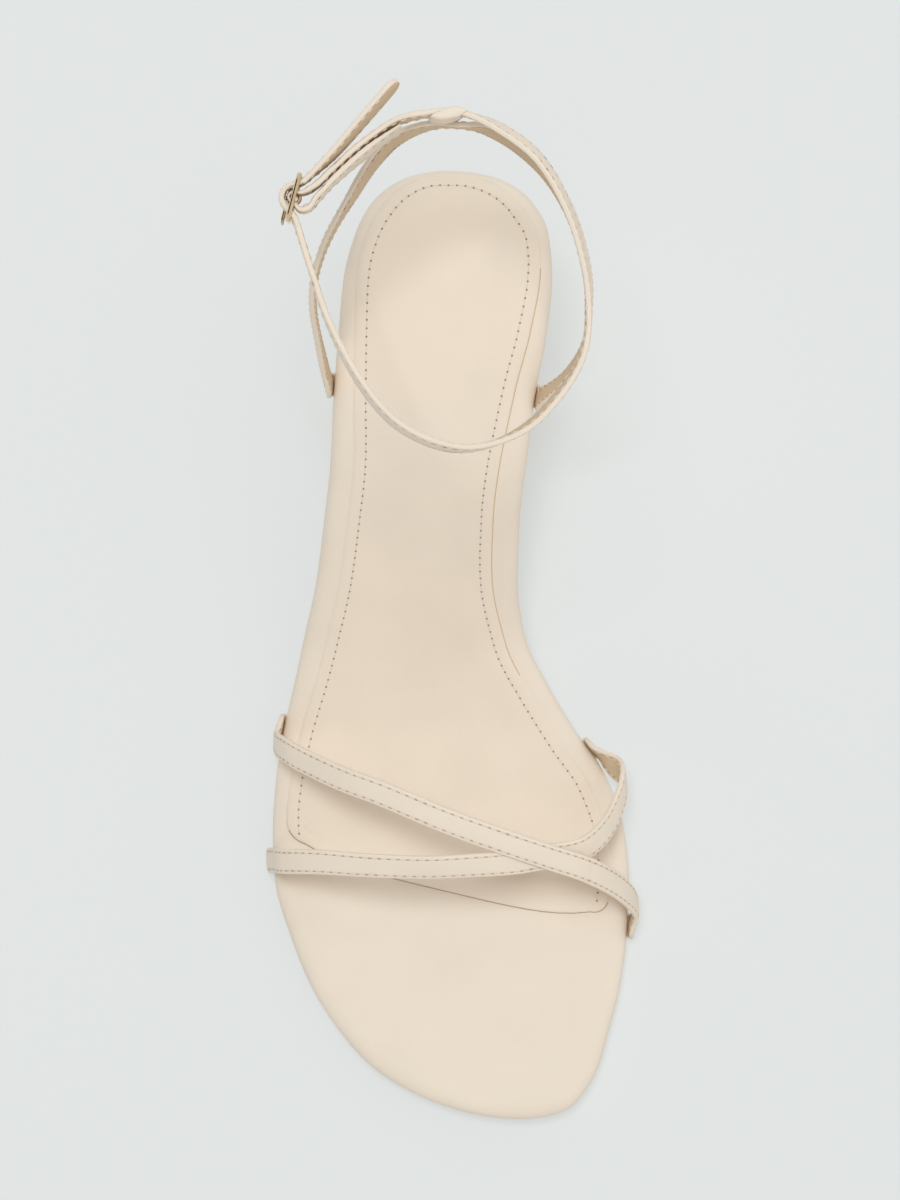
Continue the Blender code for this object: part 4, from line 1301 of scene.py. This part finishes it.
def at_buckle(along, out, up=0.0):
    """A place given from the front bar."""
    corner, along_axis, out_axis = buckle_axes()
    return corner + along_axis * along + out_axis * out + Vector((0, 0, up))


def buckle_stop(place, look, thick=1.0):
    """Stop of the strap at the buckle; look is an angle from along to out."""
    along_axis, out_axis = buckle_axes()[1:]
    angle = math.radians(look)
    face = along_axis * math.cos(angle) + out_axis * math.sin(angle)
    return Stop(at_buckle(*place), face, thick, 1.0)


def around_bar(bar, radius, angles, look=None, thick=1.0):
    """Stops on a round about one bar of the buckle."""
    stops = []
    for angle in angles:
        turn = math.radians(angle)
        place = (bar * BAR_GAP + radius * math.cos(turn), radius * math.sin(turn))
        stops.append(buckle_stop(place, angle if look is None else look, thick))
    return stops


def leaf_stops(rows):
    """Stops of a folded leaf, off the buckle's bars."""
    return [buckle_stop((row.along * BAR_GAP, row.out * BAR_GAP), row.look, row.thick)
            for row in rows]


def fold_stops():
    """The folded end: a loose loop, then round the middle bar."""
    radius = WIRE / 2 + CLEAR + STRAP_THICK * SKIVED / 2
    bar = around_bar(1, radius, FOLD_TURN, None, SKIVED)
    return leaf_stops(LOOSE_FOLD) + bar + leaf_stops(FOLD_LEAVES)


def weave_stops():
    """The free end through the frame: in, over the middle bar, out."""
    under = WIRE / 2 + CLEAR + STRAP_THICK / 2
    over = WIRE / 2 + 2 * CLEAR + PRONG_WIRE + STRAP_THICK / 2
    front = around_bar(0, under, WEAVE_IN, WEAVE_LOOK)
    middle = around_bar(1, over, WEAVE_OVER, WEAVE_LOOK)
    back = around_bar(2, under, WEAVE_OUT, WEAVE_LOOK)
    return front + middle + back


def tail_stops(width):
    """The free tail, narrowing to its tip."""
    stops = leg_stops(TAIL)
    tip = stops[-1]
    run = (tip.place - stops[-2].place).normalized()
    return stops + [Stop(tip.place + run * width * ahead, tip.face, 1.0, wide)
                    for ahead, wide in TAIL_TIP]


# Strap leather

def slices_of(stops, per_span=SPAN_STEPS):
    """Even slices along the smooth route of a strap."""
    line = through(stops, per_span)
    travelled = [0.0]
    for before, after in zip(line, line[1:]):
        travelled.append(travelled[-1] + (after.place - before.place).length)
    count = round(travelled[-1] / STRAP_STEP)
    return [slice_at(line, travelled, travelled[-1] * step / count)
            for step in range(count + 1)]


def slice_at(line, travelled, at):
    """The slice at one distance along a dense line of stops."""
    i = min(max(bisect.bisect_right(travelled, at) - 1, 0), len(line) - 2)
    share = (at - travelled[i]) / (travelled[i + 1] - travelled[i])
    near = line[i]
    far = line[i + 1]
    run = (line[min(i + 2, len(line) - 1)].place - line[max(i - 1, 0)].place).normalized()
    face = near.face.lerp(far.face, share)
    out = (face - run * face.dot(run)).normalized()
    thick = near.thick + (far.thick - near.thick) * share
    wide = near.wide + (far.wide - near.wide) * share
    return Slice(near.place.lerp(far.place, share), run, run.cross(out), out, thick, wide, at)


def face_height(x, half, sizes):
    """Height of a strap's face over its middle plane, across its width."""
    row = half - sizes.seam_margin
    swell = sizes.strap_pad * (1 - (x / half) ** 2)
    dip = sizes.seam_dip * math.exp(-((abs(x) - row) / SEAM_DIP_WIDTH) ** 2)
    return STRAP_THICK / 2 + swell - dip - sizes.strap_pad * PAD_SUNK


def strap_outline(width, sizes):
    """Section of a strap: padded faces and turned, rounded edges."""
    half = width / 2
    radius = STRAP_THICK / 2 - sizes.strap_pad * PAD_SUNK
    flat = half - radius
    face = [flat * (1 - 2 * i / FACE_COLUMNS) for i in range(FACE_COLUMNS + 1)]
    turns = [(math.pi * i / EDGE_COLUMNS, 1 - EDGE_SEAM * (2 * i == EDGE_COLUMNS))
             for i in range(1, EDGE_COLUMNS)]
    upper = [(x, face_height(x, half, sizes)) for x in face]
    far = [(-flat - radius * size * math.sin(a), radius * math.cos(a)) for a, size in turns]
    lower = [(-x, -y) for x, y in upper]
    near = [(flat + radius * size * math.sin(a), -radius * math.cos(a)) for a, size in turns]
    return upper + far + lower + near


def crease_dip(at, x, y, creases):
    """How far creases press one face in at a place on the strap."""
    total = 0.0
    for crease in creases:
        if y * crease.side > 0:
            away = (at / MM - crease.at - crease.lean * x / MM) / crease.wide
            total += crease.deep * MM * math.exp(-away * away)
    return total


def make_strap(name, slices, width, creases):
    """A leather strap swept along its slices."""
    sizes = bpy.context.scene.sandal_sizes
    outline = strap_outline(width, sizes)
    bm = bmesh.new()
    rings = []
    for cut in slices:
        ring = []
        for x, y in outline:
            dip = min(crease_dip(cut.at, x, y, creases), abs(y) * CREASE_LIMIT)
            height = (abs(y) - dip) * (1 if y > 0 else -1)
            place = cut.place + cut.across * (x * cut.wide) + cut.out * (height * cut.thick)
            ring.append(bm.verts.new(place))
        rings.append(ring)
    tube(bm, rings)
    return finish_mesh(name, bm)


def line_strap(piece, slices):
    """Give the inner face of a strap its lining."""
    piece.data.materials.append(finish("strap lining leather"))
    ring = len(piece.data.vertices) // len(slices)
    first = FACE_COLUMNS + EDGE_COLUMNS
    for face in piece.data.polygons:
        places = [v % ring for v in face.vertices]
        if all(first <= p <= first + FACE_COLUMNS for p in places):
            face.material_index = 1


# Sewing

def seam_points(slices, offset, side, width, start, end):
    """Places and outward faces along one row of stitches on a strap."""
    sizes = bpy.context.scene.sandal_sizes
    points = []
    for cut in slices:
        if start <= cut.at <= end:
            height = face_height(offset, width / 2, sizes) * cut.thick
            place = cut.place + cut.across * (offset * cut.wide) + cut.out * (side * height)
            points.append((place, cut.out * side))
    return points


def walk(points, pitch):
    """Places, runs and faces at even distances along a line of points."""
    result = []
    due = pitch * FIRST_STITCH
    travelled = 0.0
    for (a, face), (b, _) in zip(points, points[1:]):
        span = (b - a).length
        while due <= travelled + span:
            result.append((a.lerp(b, (due - travelled) / span), (b - a).normalized(), face))
            due += pitch
        travelled += span
    return result


def add_stitch(bm, start, end, face, radius):
    """One thread between two holes, bowed out of the leather."""
    run = end - start
    side = run.cross(face).normalized()
    rings = []
    for step in range(STITCH_STEPS + 1):
        share = step / STITCH_STEPS
        rise = math.sin(math.pi * share)
        centre = start + run * share + face * (radius * (STITCH_BOW * rise - STITCH_SUNK))
        size = radius * (STITCH_END + (1 - STITCH_END) * math.sqrt(rise))
        rings.append(round_ring(bm, centre, side, face, size, STITCH_SIDES))
    tube(bm, rings)


def add_hole_shade(bm, place, run, face, long, wide):
    """One needle hole: a thin slit in a dark colour of painted shade, standing for the shadow in
    the hole, laid on the leather.
    """
    side = run.cross(face).normalized()
    rise = face * HOLE_LIFT * HOLE_RIM_LIFT
    edge = [bm.verts.new(place + run * (long * math.cos(a)) + side * (wide * math.sin(a)) + rise)
            for a in around(HOLE_SIDES)]
    top = bm.verts.new(place + face * HOLE_LIFT)
    under = bm.verts.new(place - face * wide)
    for near, far in zip(edge, edge[1:] + edge[:1]):
        bm.faces.new((near, far, top))
        bm.faces.new((far, near, under))


def sew(name, slot, seams, pitch, hole, shade, thickness=1.0):
    """Threads, and dark slits of painted shade for their needle holes, along seams of (place,
    face) points.
    """
    long, wide = hole
    threads = bmesh.new()
    holes = bmesh.new()
    radius = bpy.context.scene.sandal_sizes.thread_thick / 2 * thickness
    for seam in seams:
        spots = walk(seam, pitch)
        for (here, _, face), (there, _, _) in zip(spots, spots[1:]):
            step = (there - here).normalized() * long * STITCH_GAP
            add_stitch(threads, here + step, there - step, face, radius)
        for place, run, face in spots:
            add_hole_shade(holes, place, run, face, long, wide)
    dress(finish_mesh(name + "_thread", threads), slot, finish("sewing thread"))
    dress(finish_mesh(name + "_needle_holes", holes), slot, finish(shade))


def sew_strap(name, slices, width, start, end):
    """Both rows of stitches on both faces of a strap."""
    sizes = bpy.context.scene.sandal_sizes
    row = width / 2 - sizes.seam_margin
    seams = [seam_points(slices, offset, side, width, start, end)
             for side in (1, -1) for offset in (row, -row)]
    sew(name, "cream_leather", seams, sizes.strap_pitch, STRAP_HOLE, "strap needle holes")


def finish_strap(name, sewing, node, stops, width, creases, ends=(SEAM_START, SEAM_START)):
    """One strap with its lining and its seams, which keep off its ends."""
    slices = slices_of(stops)
    piece = make_strap(name, slices, width, creases)
    dress(piece, "cream_leather", finish("cream cover leather"), node)
    line_strap(piece, slices)
    sew_strap(sewing, slices, width, ends[0], slices[-1].at - ends[1])


def keeper_point(slices, centre, share, y, z):
    """Point of the keeper; its outer side starts further along than its inner one."""
    reach = STRAP_THICK / 2 + KEEPER_ROOM
    outer = min(max((y + reach) / (2 * reach), 0.0), 1.0)
    start = -1 + KEEPER_SLANT[0] * outer
    end = 1 + KEEPER_SLANT[1] * outer
    at = centre + KEEPER_HALF * (start + (end - start) * share)
    cut = slices[bisect.bisect_left([c.at for c in slices], at)]
    return cut.place + cut.run * (at - cut.at) + cut.out * y + cut.across * z


def keeper_ring(slices, centre, share, grow, width):
    """Points round the ankle strap at one share of the keeper's length."""
    full = 0 < share < 1
    bulge = math.sin(math.pi * share ** KEEPER_PUFF) ** KEEPER_PUFF if full else 0.0
    out = STRAP_THICK / 2 + KEEPER_ROOM + grow
    deep = out + KEEPER_BULGE * bulge
    high = width / 2 + KEEPER_ROOM + KEEPER_BULGE * bulge * KEEPER_SIDE_PUFF + grow
    foot = -KEEPER_DROP - grow
    corners = [(out, high), (-deep, high), (-deep, foot), (out, foot)]
    return [keeper_point(slices, centre, share, y, z)
            for y, z in soft_corners(corners, KEEPER_CORNER + grow, KEEPER_CORNER_STEPS)]


def make_keeper(width):
    """Band of the sling round the ankle strap, bulging towards the foot."""
    middle = leg_place(KEEPER_ROWS[0]).lerp(leg_place(KEEPER_ROWS[1]), KEEPER_PLACE)
    slices = slices_of(leg_stops(ANKLE_ROUND), KEEPER_SPAN_STEPS)
    centre = min(slices, key=lambda cut: (cut.place - middle).length).at
    bm = bmesh.new()
    outer = []
    inner = []
    for step in range(KEEPER_STEPS + 1):
        share = step / KEEPER_STEPS
        full = KEEPER_THIN_END + (1 - KEEPER_THIN_END) * math.sqrt(math.sin(math.pi * share))
        thick = KEEPER_THICK * full
        outer.append([bm.verts.new(p) for p in keeper_ring(slices, centre, share, thick, width)])
        inner.append([bm.verts.new(p) for p in keeper_ring(slices, centre, share, 0.0, width)])
    for rings in (outer, inner):
        for first, second in zip(rings, rings[1:]):
            belt(bm, first, second)
    belt(bm, outer[0], inner[0])
    belt(bm, outer[-1], inner[-1])
    return finish_mesh("sling_keeper", bm)


# Buckle

def wire_piece(name, points, radius, side, closed=False, taper=()):
    """A round wire along points in one plane; side is square to the plane."""
    bm = bmesh.new()
    rings = []
    last = len(points) - 1
    for index, point in enumerate(points):
        before = points[index - 1] if closed else points[max(index - 1, 0)]
        after = points[(index + 1) % len(points)] if closed else points[min(index + 1, last)]
        out = (after - before).normalized().cross(side)
        size = radius * (taper[index] if taper else 1.0)
        rings.append(round_ring(bm, point, side, out, size, WIRE_SIDES))
    if closed:
        for first, second in zip(rings, rings[1:] + rings[:1]):
            belt(bm, first, second)
    else:
        tube(bm, rings)
    return finish_mesh(name, bm)


def soft_corners(corners, radius, steps):
    """Points of a closed outline with each corner rounded."""
    points = []
    for index, corner in enumerate(corners):
        corner = Vector(corner)
        before = (Vector(corners[index - 1]) - corner).normalized() * radius
        after = (Vector(corners[(index + 1) % len(corners)]) - corner).normalized() * radius
        middle = corner + before + after
        for step in range(steps + 1):
            angle = math.pi / 2 * step / steps
            points.append(middle - after * math.cos(angle) - before * math.sin(angle))
    return points


def make_buckle_frame():
    """Rounded gold frame with its middle bar."""
    sizes = bpy.context.scene.sandal_sizes
    high = sizes.leg_strap_width / 2 + FRAME_ROOM + WIRE / 2
    corners = [(0, -high), (0, high), (2 * BAR_GAP, high), (2 * BAR_GAP, -high)]
    outline = soft_corners(corners, FRAME_CORNER, FRAME_CORNER_STEPS)
    points = [at_buckle(x, 0, z) for x, z in outline]
    out = buckle_axes()[2]
    ring = wire_piece("buckle_ring", points, WIRE / 2, out, True)
    ends = [at_buckle(BAR_GAP, 0, z * high) for z in (-1, -0.5, 0, 0.5, 1)]
    bar = wire_piece("buckle_middle_bar", ends, WIRE / 2 * MIDDLE_BAR, out)
    return ring, bar


def make_prong():
    """Pin whose eye turns on the middle bar and whose tip lies on the front bar."""
    radius = (WIRE + PRONG_WIRE) / 2 + CLEAR
    points = []
    for step in range(EYE_STEPS + 1):
        angle = math.radians(EYE_START + (EYE_END - EYE_START) * step / EYE_STEPS)
        points.append(at_buckle(BAR_GAP + radius * math.cos(angle), radius * math.sin(angle)))
    points += [at_buckle(BAR_GAP * share, radius) for share in PRONG_SHAFT]
    taper = [1.0] * len(points) + [thick for _, thick in PRONG_NOSE]
    longest = PRONG_NOSE[-1][0]
    points += [at_buckle(-WIRE * ahead, radius - CLEAR * ahead / longest)
               for ahead, _ in PRONG_NOSE]
    up = Vector((0, 0, 1))
    return wire_piece("buckle_pin", points, PRONG_WIRE / 2, up, taper=taper)


# Operators

class SANDAL_OT_footbed(bpy.types.Operator):
    """Wrap the footbed in cream leather"""
    bl_idname = "sandal.footbed"
    bl_label = "Footbed cover"

    def execute(self, context):
        dress(make_footbed_cover(), "cream_leather", finish("cream cover leather"), "footbed")
        return {"FINISHED"}


class SANDAL_OT_sock(bpy.types.Operator):
    """Lay the padded sock and sew it down"""
    bl_idname = "sandal.sock"
    bl_label = "Insole sock"

    def execute(self, context):
        dress(make_sock(), "sock_leather", finish("sock leather"), "insole_sock")
        pitch = context.scene.sandal_sizes.sock_pitch
        sew("sock", "sock_leather", [sock_seam()], pitch, SOCK_HOLE, "sock needle holes",
            SOCK_THREAD)
        return {"FINISHED"}


class SANDAL_OT_outsole(bpy.types.Operator):
    """Put the thin outsole under the footbed"""
    bl_idname = "sandal.outsole"
    bl_label = "Outsole"

    def execute(self, context):
        dress(make_outsole(), "outsole_leather", finish("outsole leather"), "outsole")
        return {"FINISHED"}


class SANDAL_OT_heel(bpy.types.Operator):
    """Cover the heel block and add its top piece"""
    bl_idname = "sandal.heel"
    bl_label = "Heel"

    def execute(self, context):
        dress(make_heel_block(), "cream_leather", finish("cream cover leather"), "heel")
        dress(make_heel_tip(), "tip_rubber", finish("heel tip rubber"), "heel_tip")
        return {"FINISHED"}


class SANDAL_OT_toe_straps(bpy.types.Operator):
    """Sew the two crossed toe straps"""
    bl_idname = "sandal.toe_straps"
    bl_label = "Toe straps"

    def execute(self, context):
        width = context.scene.sandal_sizes.toe_strap_width
        straps = (("toe_strap_over", OVER_ENDS, OVER_STRAP, OVER_CREASES),
                  ("toe_strap_under", UNDER_ENDS, UNDER_STRAP, UNDER_CREASES))
        for name, ends, rows, creases in straps:
            stops = whole_strap(ends, toe_stops(rows))
            finish_strap(name, name, "toe_straps", stops, width, creases)
        return {"FINISHED"}


class SANDAL_OT_sling(bpy.types.Operator):
    """Sew the heel sling with its loop for the ankle strap"""
    bl_idname = "sandal.sling"
    bl_label = "Heel sling"

    def execute(self, context):
        width = context.scene.sandal_sizes.leg_strap_width
        stops = whole_strap(SLING_ENDS, leg_stops(SLING))
        finish_strap("sling_strap", "sling", "heel_sling", stops, width, SLING_CREASES)
        dress(make_keeper(width), "cream_leather", finish("cream cover leather"))
        return {"FINISHED"}


class SANDAL_OT_ankle_strap(bpy.types.Operator):
    """Sew the ankle strap with its folded end and its tail"""
    bl_idname = "sandal.ankle_strap"
    bl_label = "Ankle strap"

    def execute(self, context):
        width = context.scene.sandal_sizes.leg_strap_width
        stops = leg_stops(FOLDED_END) + fold_stops() + leg_stops(ANKLE_ROUND)
        stops += weave_stops() + tail_stops(width)
        stops[0] = stops[0]._replace(thick=SKIVED)
        finish_strap("ankle_strap_leather", "ankle_strap", "ankle_strap", stops, width,
                     ANKLE_CREASES, ANKLE_SEAM_ENDS)
        return {"FINISHED"}


class SANDAL_OT_buckle(bpy.types.Operator):
    """Make the gold buckle"""
    bl_idname = "sandal.buckle"
    bl_label = "Buckle"

    def execute(self, context):
        for piece in make_buckle_frame():
            dress(piece, "gold_metal", finish("gold plating"), "buckle_frame")
        dress(make_prong(), "gold_metal", finish("gold plating"), "buckle_prong")
        return {"FINISHED"}


class SANDAL_OT_stage(bpy.types.Operator):
    """Set the pale floor, the soft light and the camera"""
    bl_idname = "sandal.stage"
    bl_label = "Studio"

    def execute(self, context):
        make_floor(context)
        make_lights(context)
        make_camera(context)
        return {"FINISHED"}


# Studio

CAMERA_PLACE = Vector((0.7 * MM, -85.2 * MM, 1.0))
CAMERA_LENS = 115.29
SENSOR_HEIGHT = 36.0
FLOOR_HALF = 3.0
FLOOR_DROP = 0.02 * MM
FLOOR_PATCH_SCALE = 6.0
FLOOR_GLOW = 0.62
ROOM_LIGHT = 0.685
ROOM_TINT = (1.0, 0.955, 0.89)
DOORWAY = (-0.62, 0.16, 0.77)
DOORWAY_TONE = (0.03, 0.025, 0.02)
DOORWAY_EDGE = (0.865, 0.885)
LAMP_PLACE = (-0.22, 0.50, 3.0)
LAMP_TARGET = (0.0, -0.09, 0.0)
LAMP_TINT = (0.88, 0.95, 1.0)
LAMP_SIZE = 0.80
LAMP_POWER = 50.0


def make_floor(context):
    """Wide pale floor."""
    bm = bmesh.new()
    bmesh.ops.create_grid(bm, x_segments=2, y_segments=2, size=FLOOR_HALF)
    floor = finish_mesh("studio_floor", bm)
    floor.location.z = -FLOOR_DROP
    material, tree, shader, place = shader_of("studio floor")
    colour = context.scene.sandal_colours.floor
    patches = noise(tree, place, FLOOR_PATCH_SCALE)
    dull = tinted(colour, 1 - FLOOR_GLOW)
    mottle(tree, shader, ranged(tree, patches), dull, dark=0.995, light=1.005)
    shader.inputs["Roughness"].default_value = 0.9
    shader.inputs["Specular IOR Level"].default_value = 0.1
    shader.inputs["Emission Color"].default_value = (*colour, 1.0)
    shader.inputs["Emission Strength"].default_value = FLOOR_GLOW
    floor.data.materials.append(material)


def add_light(name, place, target, size, power, colour):
    """A soft square lamp that looks at a target and isn't mirrored in the metal."""
    lamp = bpy.data.lights.new(name, "AREA")
    lamp.size = size
    lamp.energy = power
    lamp.color = colour
    holder = bpy.data.objects.new(name, lamp)
    holder.location = place
    holder.rotation_euler = (Vector(target) - Vector(place)).to_track_quat("-Z", "Y").to_euler()
    holder.visible_glossy = False
    bpy.context.scene.collection.objects.link(holder)


def shade_room(tree, shade):
    """White room with one dark doorway, which the metal mirrors."""
    way = tree.nodes.new("ShaderNodeTexCoord").outputs["Generated"]
    dot = tree.nodes.new("ShaderNodeVectorMath")
    dot.operation = "DOT_PRODUCT"
    dot.inputs[1].default_value = Vector(DOORWAY).normalized()
    tree.links.new(way, dot.inputs[0])
    edge = ranged(tree, dot.outputs["Value"], reach=DOORWAY_EDGE)
    tone = blended(tree, edge, ROOM_TINT, DOORWAY_TONE)
    tree.links.new(tone, shade.inputs["Color"])


def make_lights(context):
    """Even room light and one broad lamp high up on the heel's side."""
    world = bpy.data.worlds.new("studio")
    world.use_nodes = True
    shade = world.node_tree.nodes["Background"]
    shade.inputs["Strength"].default_value = ROOM_LIGHT
    shade_room(world.node_tree, shade)
    context.scene.world = world
    add_light("broad lamp", LAMP_PLACE, LAMP_TARGET, LAMP_SIZE, LAMP_POWER, LAMP_TINT)


def make_camera(context):
    """Camera straight above the shoe, toe at the bottom of the picture."""
    camera = bpy.data.cameras.new("camera")
    camera.sensor_fit = "VERTICAL"
    camera.sensor_height = SENSOR_HEIGHT
    camera.lens = CAMERA_LENS
    camera.clip_end = 20.0
    holder = bpy.data.objects.new("camera", camera)
    holder.location = CAMERA_PLACE
    context.scene.collection.objects.link(holder)
    context.scene.camera = holder
    context.scene.view_settings.view_transform = "Standard"


class SANDAL_PT_panel(bpy.types.Panel):
    """Sizes, colours and makers of the sandal"""
    bl_idname = "SANDAL_PT_panel"
    bl_label = "Sandal"
    bl_space_type = "VIEW_3D"
    bl_region_type = "UI"
    bl_category = "Sandal"

    def draw(self, context):
        for group in (context.scene.sandal_sizes, context.scene.sandal_colours):
            for name in group.__annotations__:
                self.layout.prop(group, name)
        for operator in OPERATORS:
            self.layout.operator(operator.bl_idname)


OPERATORS = (
    SANDAL_OT_footbed,
    SANDAL_OT_sock,
    SANDAL_OT_outsole,
    SANDAL_OT_heel,
    SANDAL_OT_toe_straps,
    SANDAL_OT_sling,
    SANDAL_OT_ankle_strap,
    SANDAL_OT_buckle,
    SANDAL_OT_stage,
)
CLASSES = (SandalSizes, SandalColours) + OPERATORS + (SANDAL_PT_panel,)


def register():
    """Register the classes and hang the settings on the scene."""
    for item in CLASSES:
        bpy.utils.register_class(item)
    bpy.types.Scene.sandal_sizes = PointerProperty(type=SandalSizes)
    bpy.types.Scene.sandal_colours = PointerProperty(type=SandalColours)


def unregister():
    """Take the settings and the classes away again."""
    del bpy.types.Scene.sandal_colours
    del bpy.types.Scene.sandal_sizes
    for item in reversed(CLASSES):
        bpy.utils.unregister_class(item)


def main():
    """Make every piece in order."""
    register()
    for operator in OPERATORS:
        group, name = operator.bl_idname.split(".")
        getattr(getattr(bpy.ops, group), name)()


if __name__ == "__main__":
    main()
